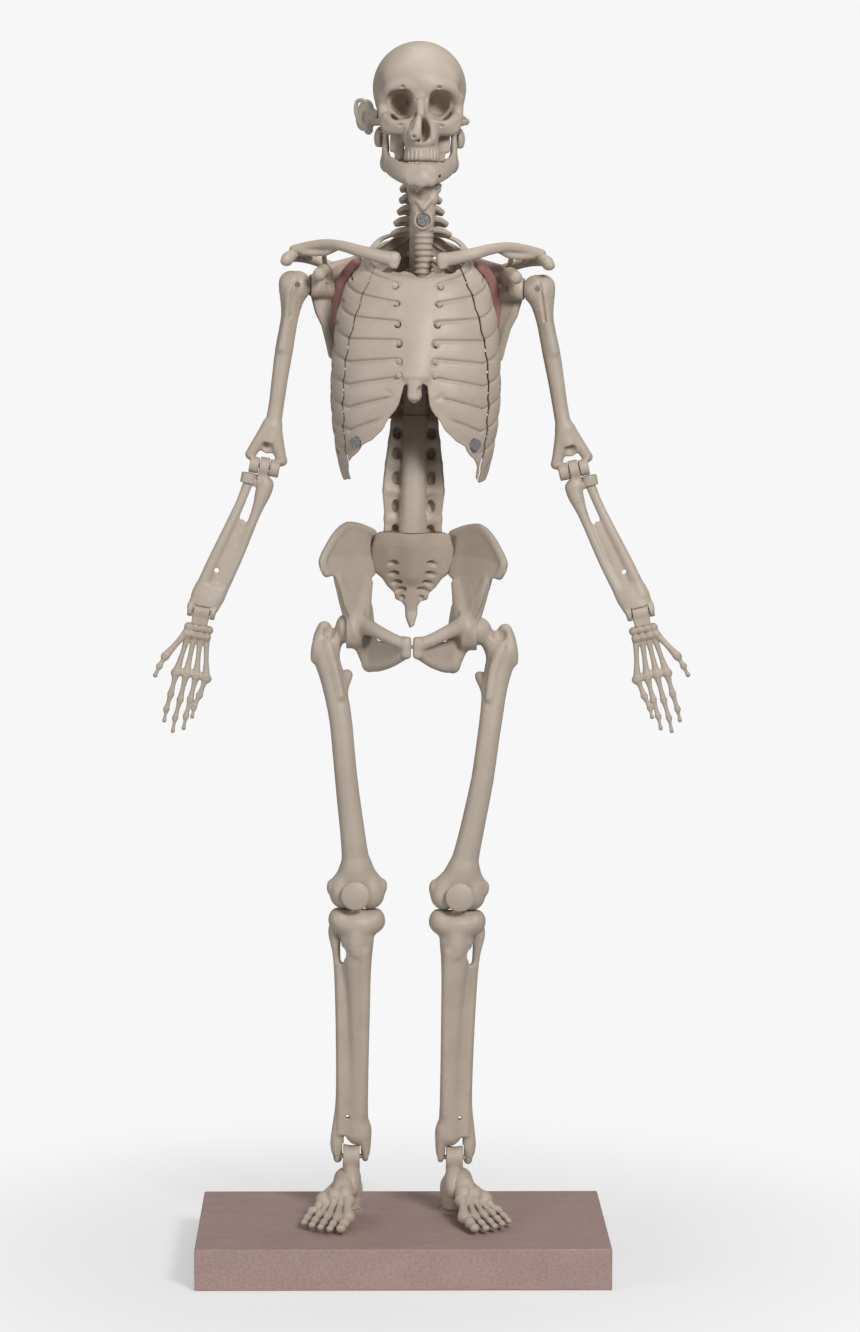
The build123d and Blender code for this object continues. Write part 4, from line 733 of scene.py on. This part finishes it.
def forearm():
    clay = Clay()
    x, y, z = ELBOW
    clay.rod((x - 3.0, y, z), (x + 3.0, y, z), 5.9, blend=0.6)
    clay.slab((x, y + 0.5, z - 7.0), (3.0, 4.4, 4.2), round_by=1.2, blend=1.5)
    clay.tube([(x - 2.4, y, z - 11.0, 5.4), (x - 2.0, y - 0.6, z - 17.0, 4.8),
               (x + 0.2, y - 2.2, z - 30.0, 3.0), (x + 6.0, y - 5.0, z - 60.0, 2.6),
               (x + 13.0, y - 7.0, z - 84.0, 3.2)], 2.0)
    clay.tube([(x + 8.6, y - 0.6, z - 14.0, 3.0), (x + 10.4, y - 1.8, z - 24.0, 2.8),
               (x + 15.0, y - 3.8, z - 42.0, 3.1), (x + 20.4, y - 5.8, z - 62.0, 3.4),
               (x + 25.2, y - 7.6, z - 84.0, 4.2)], 2.0)
    clay.rod((x + 8.4, y - 0.4, z - 11.8), (x + 8.4, y - 0.4, z - 5.4), 4.7, blend=0.8)
    clay.slab((x + 3.8, y, z - 11.0), (5.8, 2.4, 1.8), round_by=1.0, blend=1.6)
    clay.tube([(x + 8.0, y - 3.2, z - 38.0, 3.6), (x + 13.0, y - 5.4, z - 60.0, 5.0),
               (x + 19.0, y - 7.2, z - 84.0, 6.6)], 1.6, flat=(1.0, 0.3, 1.0))
    clay.tube([(x + 19.2, y - 7.2, z - 80.0, 4.0), (x + 20.6, y - 8.4, z - 88.0, 4.4),
               (WRIST[0], WRIST[1], WRIST[2] + 1.0, 4.2)], 2.0, flat=(2.2, 1, 1))
    clay.cross(WRIST, WRIST[0] - 8.6, WRIST[0] + 8.6, 4.0, blend=1.5)
    for end in (-1.0, 1.0):
        near = x + end * 3.0
        clay.rod((near, y, z), (near + end * 18.0, y, z), 5.5, cut=True)
    clay.rod((x - 20.0, y, z), (x + 20.0, y, z), PIN, cut=True)
    clay.cross(WRIST, WRIST[0] - 5.4, WRIST[0] + 5.4, 4.9, cut=True)
    clay.trim((WRIST[0], WRIST[1], WRIST[2] - 5.0), (5.4, 6.0, 5.0))
    clay.cross(WRIST, WRIST[0] - 20.0, WRIST[0] + 20.0, PIN, cut=True)
    clay.rod((x + 17.4, -60.0, z - 68.0), (x + 17.4, 40.0, z - 68.0), 1.6, cut=True)
    return clay


def finger(clay, stations):
    """Bones of one finger: slim between thicker joints, with a small groove at each joint."""
    for a, b in zip(stations, stations[1:]):
        middle = tuple((p + q) / 2.0 for p, q in zip(a[:3], b[:3]))
        slim = min(a[3], b[3]) * 0.72
        clay.tube([a, middle + (slim,), b], 0.9)
    for a in stations[1:-1]:
        clay.egg((a[0], a[1] - a[3] * 1.1, a[2]), (a[3] * 1.3, 0.5, 0.4), cut=True, blend=0.5)


def hand():
    """Palm to the front, thumb outward."""
    clay = Clay()
    x, y, z = WRIST
    clay.rod((x - 5.0, y, z), (x + 5.0, y, z), 4.4, blend=0.6)
    clay.slab((x, y, z - 4.6), (5.0, 3.4, 4.0), round_by=1.2, blend=1.2)
    for row in range(2):
        for col in range(4):
            clay.egg((x - 6.6 + 4.3 * col + 0.6 * row, y - 0.4, z - 10.6 - 4.6 * row),
                     (2.6, 3.4, 2.7), blend=0.9)
    lengths = (70.5, 76.0, 73.0, 65.0)
    for number in range(4):
        top = x + 5.6 - 3.9 * number
        knuckle = x + 8.6 - 6.2 * number
        tip = x + 10.6 - 6.3 * number + (2.4 if number == 3 else 0.0)
        reach = lengths[number]
        span = reach - 40.0
        finger(clay, [(top, y, z - 17.0, 2.1), (knuckle, y - 0.4, z - 40.0, 2.6),
                      (knuckle * 0.5 + tip * 0.5, y - 0.9, z - 40.0 - span * 0.45, 2.0),
                      (tip, y - 1.6, z - 40.0 - span * 0.77, 1.8), (tip, y - 2.4, z - reach, 1.35)])
    clay.tube([(x - 11.6, y - 0.4, z - 40.6, 1.9), (x, y - 0.4, z - 38.6, 2.0),
               (x + 10.0, y - 0.4, z - 40.4, 1.9)], 1.4, flat=(1, 0.7, 1))
    finger(clay, [(x + 6.0, y - 0.6, z - 13.0, 2.6), (x + 17.0, y - 3.4, z - 31.0, 2.5),
                  (x + 19.4, y - 4.0, z - 37.6, 1.9), (x + 21.0, y - 4.4, z - 43.6, 1.5)])
    clay.rod((x - 8.0, y, z), (x + 8.0, y, z), PIN, cut=True)
    return clay


# ------------------------------------------------------------------ neck and head
def cervical():
    clay = Clay()
    clay.tube([(2.2, 15.5, 611.0, 7.6), (1.8, 10.5, 630.0, 6.8), (0.8, 8.0, 650.0, 6.6),
               (0.2, 8.0, 663.0, 7.4)], 2.0)
    levels = ((616.0, 17.6), (622.6, 15.6), (629.6, 13.4), (636.6, 12.0), (643.4, 11.4),
              (650.2, 11.4), (657.0, 11.8), (663.4, 12.6))
    for level, half in levels:
        depth = 8.0 + max(0.0, 640.0 - level) * 0.27
        drift = 2.2 * (667.0 - level) / 55.0
        for side in (-1, 1):
            clay.tube([(drift + side * 4.0, depth - 1.0, level + 1.6, 2.0),
                       (drift + side * half * 0.74, depth - 2.6, level + 0.6, 1.7),
                       (drift + side * half, depth - 1.0, level - 1.6, 1.5)], 0.7)
            clay.tube([(drift + side * 5.0, depth + 3.0, level, 2.4),
                       (drift + side * half * 0.95, depth + 3.4, level - 2.4, 1.7)], 0.9)
            clay.egg((drift + side * 8.0, depth + 6.0, level - 1.0), (3.0, 3.4, 3.0), blend=1.5)
        clay.tube([(drift, depth + 8.0, level - 0.4, 2.4), (drift, depth + 14.0, level - 3.0, 1.6)], 1.0)
        clay.slab((drift, depth - 7.4, level + 3.2), (7.0, 1.6, 0.5), round_by=0.3, blend=0.8, cut=True)
    clay.trim((0.0, 10.0, 596.9), (40.0, 40.0, 15.0))
    clay.trim((0.0, 10.0, 681.6), (40.0, 40.0, 15.0))
    clay.rod((0.0, 8.0, 650.0), (0.0, 8.0, 670.0), PIN, cut=True)
    clay.rod((2.7, -20.0, 622.4), (2.7, 11.0, 622.4), PIN, cut=True)
    return clay


def larynx():
    clay = Clay()
    clay.tube([(3.3, -2.6, 590.0, 4.9), (3.3, -4.0, 602.0, 5.1), (3.1, -7.0, 616.0, 5.2)], 1.0)
    for step in range(8):
        level = 590.6 + 3.7 * step
        clay.egg((3.3, -2.7 - (level - 589.0) * 0.155, level), (6.2, 5.9, 1.75), blend=0.5)
    clay.tube([(2.9, -8.4, 621.0, 6.0), (2.8, -9.4, 629.0, 6.7), (2.5, -9.6, 636.0, 7.4)], 2.0,
              flat=(1.1, 0.95, 1))
    clay.slab((2.6, -9.6, 636.4), (8.8, 6.0, 4.0), round_by=2.6, blend=2.0)
    for side in (-1, 1):
        clay.tube([(2.6 + side * 9.0, -9.0, 640.4, 1.3), (2.6 + side * 5.6, -14.6, 636.4, 1.1),
                   (2.7, -17.0, 629.6, 1.5)], 1.6)
        clay.tube([(2.4 + side * 10.0, -7.4, 643.6, 1.5), (2.4 + side * 6.6, -13.6, 642.4, 1.5),
                   (2.4, -16.6, 641.6, 1.9)], 1.0)
        clay.egg((2.6 + side * 5.0, -16.4, 640.0), (1.3, 2.2, 0.8), cut=True, blend=0.8)
    clay.egg((2.6, -16.4, 637.6), (3.4, 2.6, 3.0), cut=True, blend=1.6)
    ring = [(2.7 + 4.9 * math.cos(t), -13.8, 622.4 + 4.7 * math.sin(t), 1.25)
            for t in (2 * math.pi * k / 20 for k in range(21))]
    clay.tube(ring, 0.9)
    clay.rod((2.7, -8.0, 622.4), (2.7, 11.4, 622.4), 3.9, blend=1.0)
    clay.rod((2.7, -30.0, 622.4), (2.7, -13.3, 622.4), 4.2, cut=True, blend=0.5)
    clay.rod((2.7, -30.0, 622.4), (2.7, 30.0, 622.4), PIN, cut=True)
    clay.tube([(2.2, 15.5, 611.0, 7.7), (1.8, 10.5, 630.0, 6.9), (0.8, 8.0, 646.0, 6.7)], 0.2, cut=True)
    return clay


def teeth(clay, level, tip, root, half_x, half_y, front):
    """Twelve teeth round the arch with the swell of their roots."""
    for number in range(12):
        angle = math.radians(-82.5 + 15.0 * number)
        x = 1.1 + half_x * math.sin(angle)
        y = front + half_y * (1.0 - math.cos(angle))
        wide = 1.35 if abs(number - 5.5) < 3 else 1.7
        clay.tube([(x, y, tip, wide * 0.86), (x, y, level, wide), (x, y + 0.5, root, wide * 0.5)], 0.35)


def skull():
    clay = Clay()
    clay.egg((-0.6, 6.0, 703.0), (28.5, 36.8, 28.3))
    clay.egg((0.0, 14.0, 692.0), (24.0, 25.0, 20.0), blend=6.0)
    clay.egg((-0.3, -16.0, 705.0), (22.6, 15.4, 12.0), blend=6.0)
    for side in (-1, 1):
        clay.egg((side * 32.5, -15.0, 698.0), (7.0, 13.0, 13.0), cut=True, blend=6.0)
    clay.tube([(1.0, -20.0, 660.5, 8.6), (0.6, -19.4, 668.0, 9.8), (0.2, -17.0, 678.0, 12.0),
               (0.0, -15.0, 690.0, 14.0)], 4.0)
    for side in (-1, 1):
        clay.tube([(side * 8.0, -22.2, 678.4, 5.0), (side * 14.4, -21.8, 678.2, 5.0),
                   (side * 19.4, -18.6, 678.4, 4.5), (side * 22.4, -15.0, 686.6, 3.4),
                   (side * 22.8, -15.6, 696.0, 3.2)], 3.0)
        clay.tube([(side * 4.0, -27.6, 701.0, 3.2), (side * 11.0, -28.0, 703.0, 3.0),
                   (side * 18.6, -24.6, 700.8, 2.8), (side * 22.4, -18.0, 695.4, 2.4)], 3.0)
        clay.tube([(side * 5.4, -26.6, 683.8, 2.4), (side * 10.6, -26.6, 681.0, 2.8),
                   (side * 16.4, -24.2, 680.8, 3.0), (side * 20.4, -20.0, 683.8, 2.6)], 3.0)
        clay.tube([(side * 20.0, -17.6, 680.0, 3.0), (side * 25.2, -10.0, 681.6, 2.0),
                   (side * 28.2, -3.0, 682.6, 1.9), (side * 27.6, 4.0, 683.4, 2.1),
                   (side * 25.0, 9.0, 685.0, 2.8)], 2.0)
        clay.tube([(side * 3.0, -28.4, 692.0, 2.0), (side * 5.6, -27.6, 682.0, 2.5),
                   (side * 7.2, -27.4, 671.6, 2.9)], 2.0)
        clay.egg((side * 24.0, 11.0, 672.4), (3.9, 5.0, 7.0), blend=3.0)
        clay.slab((side * 12.4, -10.8, 668.0), (2.9, 1.8, 10.5), round_by=1.2, blend=2.0)
        clay.slab((side * 15.0, -10.8, 671.8), (3.2, 1.8, 8.5), round_by=1.2, blend=2.0)
    clay.tube([(-6.2, -26.8, 669.4, 2.0), (0.4, -29.6, 668.2, 2.0), (6.8, -26.8, 669.4, 2.0)], 2.0)
    clay.tube([(-0.4, -27.8, 698.0, 3.4), (-0.4, -30.0, 692.4, 2.8), (-0.2, -34.4, 684.4, 2.3)], 1.8)
    clay.rod((0.0, 8.0, 667.6), (0.0, 8.0, 690.0), 9.5, blend=2.0)
    teeth(clay, 660.6, 658.8, 666.0, 9.4, 12.0, -29.0)
    for side, across, wide in ((-1, 12.3, 8.9), (1, 11.8, 8.3)):
        clay.slab((side * (across - 0.2), -28.0, 691.0), (wide - 1.2, 12.0, 8.8), turn=(0, side * 8, 0),
                  round_by=5.0, cut=True, blend=1.2)
        clay.egg((side * (across - 1.2), -17.0, 692.0), (wide - 2.0, 12.0, 7.0), cut=True, blend=2.0)
        clay.egg((side * (across - 4.6), -13.0, 693.6), (1.5, 8.0, 3.0), turn=(0, side * 25, 0),
                 cut=True, blend=1.0)
        clay.egg((side * 12.4, -30.6, 678.6), (1.5, 3.4, 1.1), turn=(0, side * 20, 0), cut=True, blend=0.8)
        clay.egg((side * (across - 1.0), -32.0, 701.4), (1.6, 3.0, 1.0), cut=True, blend=0.8)
        clay.tube([(side * 20.6, 1.0, 656.0, 9.5), (side * 20.8, 0.0, 684.0, 8.5),
                   (side * 21.4, -2.0, 690.0, 6.5)], 0.8, flat=(0.4, 1, 1), cut=True)
        clay.tube([(side * 21.0, -17.6, 692.6, 0.35), (side * 24.4, -14.0, 693.4, 0.35)], 0.4, cut=True)
    clay.egg((0.5, -30.0, 675.4), (5.0, 11.0, 7.0), cut=True, blend=0.8)
    clay.egg((0.6, -33.0, 680.6), (2.6, 7.0, 4.0), cut=True, blend=0.8)
    clay.slab((0.0, -25.4, 676.0), (0.55, 5.4, 8.0), round_by=0.4, blend=0.6)
    clay.tube([(-4.6, -29.6, 695.0, 0.35), (-2.2, -31.2, 693.8, 0.35), (-0.4, -31.8, 695.6, 0.35),
               (1.6, -31.2, 693.8, 0.35), (4.0, -29.6, 695.0, 0.35)], 0.4, cut=True)
    clay.trim((0.0, 0.0, 640.0), (45.0, 45.0, 17.6), 0.2)
    clay.trim((0.0, 12.0, 662.0), (45.0, 19.0, 5.0), 0.8)
    clay.rod((0.0, 8.0, 655.0), (0.0, 8.0, 680.6), PIN, cut=True)
    clay.rod((-26.0, 3.0, 676.5), (26.0, 3.0, 676.5), 1.15, cut=True)
    return clay


def nose_wing():
    clay = Clay()
    clay.tube([(-1.2, -35.4, 683.6, 1.5), (-1.8, -36.4, 678.0, 2.6), (-2.8, -35.4, 673.0, 3.4)], 2.0)
    clay.egg((-4.8, -32.6, 672.8), (3.2, 4.6, 3.4), blend=2.0)
    clay.tube([(-3.0, -33.0, 682.4, 1.2), (-5.6, -30.8, 676.0, 1.6)], 2.4)
    clay.egg((-4.0, -38.8, 671.4), (1.5, 3.4, 1.3), cut=True, blend=0.8)
    clay.trim((9.4, -32.0, 678.0), (9.0, 20.0, 20.0), 0.6)
    clay.egg((0.3, -29.0, 676.0), (5.0, 4.6, 5.0), cut=True, blend=0.5)
    return clay


def ear():
    clay = Clay()
    centre = np.array([-33.4, 9.6, 685.6])

    def spot(out, up, lift=0.0):
        out = out + 0.24 * up
        return tuple(centre + np.array([-0.8, 0.6, 0.0]) * out + np.array([0, 0, 1.0]) * up
                     + np.array([-0.6, -0.8, 0.0]) * lift)

    clay.egg(spot(0.2, 0.6), (6.4, 2.9, 9.7), turn=(0, 13, -36.9))
    clay.egg(spot(-0.6, -8.2), (2.8, 1.7, 3.2), blend=2.0)
    rim = [(-4.4, 1.0), (-4.0, 6.0), (-0.6, 9.6), (3.4, 8.6), (5.4, 4.0), (5.2, -1.0), (3.2, -5.6)]
    clay.tube([spot(a, b, 1.4) + (1.25,) for a, b in rim], 0.6)
    fold = [(-1.6, 5.8), (1.8, 4.0), (2.6, 0.0), (1.2, -4.2), (-1.6, -5.2)]
    clay.tube([spot(a, b, 1.6) + (0.95,) for a, b in fold], 0.6)
    clay.tube([spot(2.0, 3.0, 1.4) + (0.8,), spot(-0.4, 7.0, 1.3) + (0.6,)], 0.6)
    clay.tube([spot(-4.2, 0.4, 1.6) + (1.1,), spot(-3.8, -3.0, 1.8) + (1.0,)], 0.7)
    clay.egg(spot(-1.2, -0.6, 2.6), (2.2, 1.9, 3.4), turn=(0, 13, -36.9), cut=True, blend=0.9)
    clay.rod((-31.6, 8.4, 684.5), (-24.5, 5.6, 684.5), 4.8, blend=2.0)

    def vault(x, y, z):
        share = ((x + 0.6) / 28.6) ** 2 + ((y - 6.0) / 36.9) ** 2 + ((z - 703.0) / 28.4) ** 2
        return np.sqrt(share) * 28 - 28

    clay.field((-45.0, -8.0, 670.0), (-20.0, 25.0, 700.0), vault, 0.2, cut=True)
    return clay


def jaw():
    clay = Clay()
    for side in (-1, 1):
        clay.tube([(0.6, -30.4, 649.0, 3.3), (side * 7.0, -28.8, 649.4, 3.3),
                   (side * 13.4, -21.6, 651.8, 3.1), (side * 18.6, -11.6, 655.6, 2.9),
                   (side * 20.6, -5.0, 659.6, 2.4)], 1.2, flat=(1, 1, 2.0))
        clay.tube([(side * 20.8, -3.6, 657.0, 5.6), (side * 20.9, -2.6, 664.0, 6.2),
                   (side * 20.8, -0.8, 671.0, 5.4), (side * 20.8, 2.0, 676.0, 3.6)], 1.5,
                  flat=(0.34, 1, 1))
        clay.tube([(side * 20.6, -6.0, 666.0, 2.0), (side * 20.4, -7.6, 674.6, 1.3)], 1.5)
        clay.rod((side * 18.9, 3.0, 676.5), (side * 22.7, 3.0, 676.5), 3.3, blend=0.8)
        clay.egg((side * 21.4, -3.2, 656.6), (2.6, 4.4, 4.0), blend=2.0)
        clay.egg((side * 18.9, -8.4, 656.6), (3.0, 4.8, 5.0), blend=2.0)
        clay.egg((0.8 + side * 6.4, -30.6, 645.4), (2.6, 2.4, 2.6), blend=2.4)
        clay.egg((side * 11.0 + 0.8, -27.0, 648.6), (0.9, 2.4, 1.0), cut=True, blend=0.5)
    clay.egg((0.8, -32.4, 647.0), (5.6, 2.6, 5.0), blend=2.4)
    clay.tube([(1.1, -20.6, 653.4, 8.8), (1.1, -20.6, 650.0, 8.6)], 1.2, flat=(1.06, 1, 1))
    clay.tube([(1.0, -16.8, 663.0, 7.0), (1.0, -16.8, 640.0, 7.0)], 0.8, cut=True)
    clay.slab((0.0, 0.0, 654.0), (17.6, 15.0, 20.0), cut=True, round_by=2.0, blend=1.0)
    clay.slab((1.0, -22.0, 664.8), (14.0, 14.0, 7.6), cut=True, round_by=0.2, blend=0.5)
    teeth(clay, 654.6, 655.9, 650.0, 9.2, 12.0, -29.2)
    clay.slab((1.0, -22.0, 672.0), (13.6, 13.6, 14.6), cut=True, round_by=0.2, blend=0.3)
    clay.rod((-30.0, 3.0, 676.5), (30.0, 3.0, 676.5), 1.15, cut=True)
    return clay


# ------------------------------------------------------------------ materials
def node_kit(name):
    material = bpy.data.materials.new(name)
    material.use_nodes = True
    tree = material.node_tree
    shader = tree.nodes["Principled BSDF"]
    place_at = tree.nodes.new("ShaderNodeTexCoord").outputs["Object"]
    return material, tree, shader, place_at


def grain(tree, place_at, scale, detail=3.0, stretch=(1, 1, 1), roughness=0.55):
    mapping = tree.nodes.new("ShaderNodeMapping")
    mapping.inputs["Scale"].default_value = stretch
    noise = tree.nodes.new("ShaderNodeTexNoise")
    noise.inputs["Scale"].default_value = scale
    noise.inputs["Detail"].default_value = detail
    noise.inputs["Roughness"].default_value = roughness
    tree.links.new(place_at, mapping.inputs["Vector"])
    tree.links.new(mapping.outputs["Vector"], noise.inputs["Vector"])
    return noise.outputs["Fac"]


def ramp(tree, value, stops):
    node = tree.nodes.new("ShaderNodeValToRGB")
    while len(node.color_ramp.elements) < len(stops):
        node.color_ramp.elements.new(0.5)
    for element, (position, colour) in zip(node.color_ramp.elements, stops):
        element.position = position
        element.color = (*colour, 1.0)
    tree.links.new(value, node.inputs["Fac"])
    return node.outputs["Color"]


def tint(tree, base, layer, amount, kind="MULTIPLY"):
    mix = tree.nodes.new("ShaderNodeMix")
    mix.data_type = "RGBA"
    mix.blend_type = kind
    mix.inputs["Factor"].default_value = amount
    tree.links.new(base, mix.inputs["A"])
    tree.links.new(layer, mix.inputs["B"])
    return mix.outputs["Result"]


def relief(tree, shader, layers):
    """Stacks bump layers given as (height, strength, distance in metres)."""
    normal = None
    for height, strength, distance in layers:
        bump = tree.nodes.new("ShaderNodeBump")
        bump.inputs["Strength"].default_value = strength
        bump.inputs["Distance"].default_value = distance
        tree.links.new(height, bump.inputs["Height"])
        if normal is not None:
            tree.links.new(normal, bump.inputs["Normal"])
        normal = bump.outputs["Normal"]
    tree.links.new(normal, shader.inputs["Normal"])


def gloss(tree, shader, value, low, high):
    spread = tree.nodes.new("ShaderNodeMapRange")
    spread.inputs["To Min"].default_value = low
    spread.inputs["To Max"].default_value = high
    tree.links.new(value, spread.inputs["Value"])
    tree.links.new(spread.outputs["Result"], shader.inputs["Roughness"])


def cast_plastic(name, colour, pale, shade, rough=(0.42, 0.56)):
    """Satin cast plastic: cloudy tone, painted shade in seams, pits and other hollows, fine stipple."""
    material, tree, shader, place_at = node_kit(name)
    cloud = grain(tree, place_at, 55.0, 4.0)
    tone = ramp(tree, cloud, [(0.3, colour), (0.7, pale)])
    # Painted shade: the colour is darkened where the surface is hollow (low pointiness), standing in for
    # shade in creases, seams and pits.
    hollow_curvature = tree.nodes.new("ShaderNodeNewGeometry").outputs["Pointiness"]
    painted_hollow_shade = ramp(tree, hollow_curvature, [(0.40, shade), (0.49, (1.0, 1.0, 1.0)), (0.60, (1.0, 1.0, 1.0))])
    tone = tint(tree, tone, painted_hollow_shade, 0.85)
    specks = ramp(tree, grain(tree, place_at, 700.0, 2.0),
                  [(0.25, (0.82, 0.80, 0.78)), (0.45, (1.0, 1.0, 1.0))])
    tone = tint(tree, tone, specks, 0.35)
    tree.links.new(tone, shader.inputs["Base Color"])
    gloss(tree, shader, grain(tree, place_at, 260.0, 3.0), *rough)
    relief(tree, shader, [(grain(tree, place_at, 1500.0, 2.0), 0.16, 0.0003),
                          (grain(tree, place_at, 180.0, 3.0), 0.10, 0.0008)])
    shader.inputs["IOR"].default_value = 1.46
    return material


def stained_wood(name):
    """Thin greyish-pink stain with fine streaks along the board's width."""
    material, tree, shader, place_at = node_kit(name)
    streaks = grain(tree, place_at, 1300.0, 5.0, (0.35, 1.0, 0.5), 0.7)
    bands = grain(tree, place_at, 90.0, 4.0, (0.25, 1.0, 0.5))
    tone = ramp(tree, streaks, [(0.28, (0.31, 0.205, 0.185)), (0.5, (0.40, 0.275, 0.25)),
                                (0.72, (0.47, 0.335, 0.305))])
    tone = tint(tree, tone, ramp(tree, bands, [(0.3, (0.86, 0.84, 0.84)), (0.7, (1.0, 1.0, 1.0))]), 0.7)
    tree.links.new(tone, shader.inputs["Base Color"])
    gloss(tree, shader, streaks, 0.42, 0.66)
    relief(tree, shader, [(streaks, 0.35, 0.0004), (bands, 0.15, 0.0006)])
    return material


def bright_steel(name):
    material, tree, shader, place_at = node_kit(name)
    lines = grain(tree, place_at, 900.0, 2.0, (1.0, 0.2, 1.0))
    tree.links.new(ramp(tree, lines, [(0.3, (0.56, 0.56, 0.57)), (0.7, (0.74, 0.74, 0.75))]),
                   shader.inputs["Base Color"])
    shader.inputs["Metallic"].default_value = 1.0
    gloss(tree, shader, lines, 0.18, 0.34)
    relief(tree, shader, [(lines, 0.08, 0.0001)])
    return material


MATERIALS = {
    "bone": cast_plastic("bone", (0.47, 0.395, 0.32), (0.52, 0.445, 0.365), (0.55, 0.47, 0.40)),
    "muscle": cast_plastic("muscle", (0.33, 0.15, 0.145), (0.38, 0.185, 0.175), (0.5, 0.4, 0.4)),
    "cartilage": cast_plastic("cartilage", (0.50, 0.43, 0.355), (0.56, 0.49, 0.41), (0.6, 0.5, 0.44)),
    "board": stained_wood("board"),
    "steel": bright_steel("steel"),
}


def paint_cad_pieces():
    """Materials for the pieces that keep their worked-out shape."""
    plain = {"base_board": "board", "thoracic_spine": "bone", "heel_disc": "bone"}
    for node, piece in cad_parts.items():
        stem = node.replace("_left", "").replace("_right", "")
        piece.data.materials.clear()
        piece.data.materials.append(MATERIALS[plain.get(stem, "steel")])


# ------------------------------------------------------------------ everything
def build_trunk():
    pair("hip_bone", hip_bone(), 0.6, "torso")
    single("sacrum", sacrum(), 0.5, "torso")
    single("lumbar_spine", lumbar(), 0.55, "torso")
    single("breastplate", chest_front(), 0.5, "torso", rough=0.02)
    single("rib_cage", chest_rear(), 0.6, "torso", rough=0.02)
    pair("clavicle", clavicle(), 0.5, "torso")
    pair("scapula", scapula(), 0.5, "torso")
    pair("muscle_pad", muscle_pad(), 0.6, "torso", "muscle")
    single("cervical_spine", cervical(), 0.45, "torso")
    single("larynx", larynx(), 0.45, "torso", rough=0.0)


def build_arms():
    hung_pair("humerus", humerus(), 0.5, "arm_upper_*")
    hung_pair("forearm", forearm(), 0.5, "arm_lower_*")
    hung_pair("hand", hand(), 0.45, "hand_*")


def build_head():
    single("skull", skull(), 0.5, "head", rough=0.02)
    single("nose_wing", nose_wing(), 0.35, "head", "cartilage", 0.0)
    single("ear", ear(), 0.4, "head", "cartilage", 0.0)
    single("jaw", jaw(), 0.4, "jaw", rough=0.0)


def studio():
    """Pale floor that fades into an even backdrop, a soft key from the right and a weak fill."""
    world = bpy.data.worlds.new("studio")
    world.use_nodes = True
    bpy.context.scene.world = world
    tree = world.node_tree
    back = tree.nodes["Background"]
    path = tree.nodes.new("ShaderNodeLightPath")
    spread = tree.nodes.new("ShaderNodeMapRange")
    spread.inputs["To Min"].default_value = 0.17
    spread.inputs["To Max"].default_value = 0.93
    tree.links.new(path.outputs["Is Camera Ray"], spread.inputs["Value"])
    back.inputs["Color"].default_value = (1.0, 1.0, 1.0, 1.0)
    tree.links.new(spread.outputs["Result"], back.inputs["Strength"])

    bpy.ops.mesh.primitive_circle_add(vertices=96, radius=1.6, fill_type="NGON")
    floor = bpy.context.object
    floor.name = "floor"
    material, tree, shader, place_at = node_kit("floor")
    shader.inputs["Base Color"].default_value = (0.9, 0.9, 0.9, 1.0)
    shader.inputs["Roughness"].default_value = 0.9
    away = tree.nodes.new("ShaderNodeVectorMath")
    away.operation = "LENGTH"
    tree.links.new(place_at, away.inputs[0])
    fade = tree.nodes.new("ShaderNodeMapRange")
    fade.interpolation_type = "SMOOTHSTEP"
    fade.inputs["From Min"].default_value = 0.12
    fade.inputs["From Max"].default_value = 0.45
    fade.inputs["To Min"].default_value = 0.40
    tree.links.new(away.outputs["Value"], fade.inputs["Value"])
    glow = tree.nodes.new("ShaderNodeEmission")
    glow.inputs["Color"].default_value = (1.0, 1.0, 1.0, 1.0)
    seen = tree.nodes.new("ShaderNodeLightPath")
    level = tree.nodes.new("ShaderNodeMapRange")
    level.inputs["To Min"].default_value = 0.25
    level.inputs["To Max"].default_value = 0.93
    tree.links.new(seen.outputs["Is Camera Ray"], level.inputs["Value"])
    tree.links.new(level.outputs["Result"], glow.inputs["Strength"])
    mix = tree.nodes.new("ShaderNodeMixShader")
    tree.links.new(fade.outputs["Result"], mix.inputs["Fac"])
    tree.links.new(shader.outputs["BSDF"], mix.inputs[1])
    tree.links.new(glow.outputs["Emission"], mix.inputs[2])
    tree.links.new(mix.outputs["Shader"], tree.nodes["Material Output"].inputs["Surface"])
    floor.data.materials.append(material)

    def lamp(name, spot, aim, size, power):
        light = bpy.data.lights.new(name, "AREA")
        light.size = size
        light.energy = power
        holder = bpy.data.objects.new(name, light)
        holder.location = spot
        holder.rotation_euler = (Vector(aim) - Vector(spot)).to_track_quat("-Z", "Y").to_euler()
        bpy.context.collection.objects.link(holder)

    lamp("key", (0.85, -1.75, 1.45), (0, 0, 0.25), 0.6, 36.0)
    lamp("fill", (-1.7, -1.2, 0.7), (0, 0, 0.3), 0.9, 12.0)
    lamp("top", (0.1, 0.3, 2.0), (0, 0, 0.5), 0.8, 9.0)


def camera():
    yaw, tilt, roll = (math.radians(v) for v in (1.033, 5.507, 0.154))
    ahead = Vector((math.sin(yaw) * math.cos(tilt), math.cos(yaw) * math.cos(tilt), -math.sin(tilt)))
    right = Vector((math.cos(yaw), -math.sin(yaw), 0.0))
    up = right.cross(ahead)
    across = right * math.cos(roll) + up * math.sin(roll)
    upward = up * math.cos(roll) - right * math.sin(roll)
    view = bpy.data.cameras.new("camera")
    view.sensor_fit = "VERTICAL"
    view.sensor_height = 36.0
    view.lens = 101.99
    holder = bpy.data.objects.new("camera", view)
    turn = Matrix((across, upward, -ahead)).transposed().to_4x4()
    holder.matrix_world = Matrix.Translation((-0.02538, -2.32246, 0.59811)) @ turn
    bpy.context.collection.objects.link(holder)
    bpy.context.scene.camera = holder


bpy.context.scene.view_settings.view_transform = "Standard"
build_legs()
build_trunk()
build_arms()
build_head()
paint_cad_pieces()
studio()
camera()
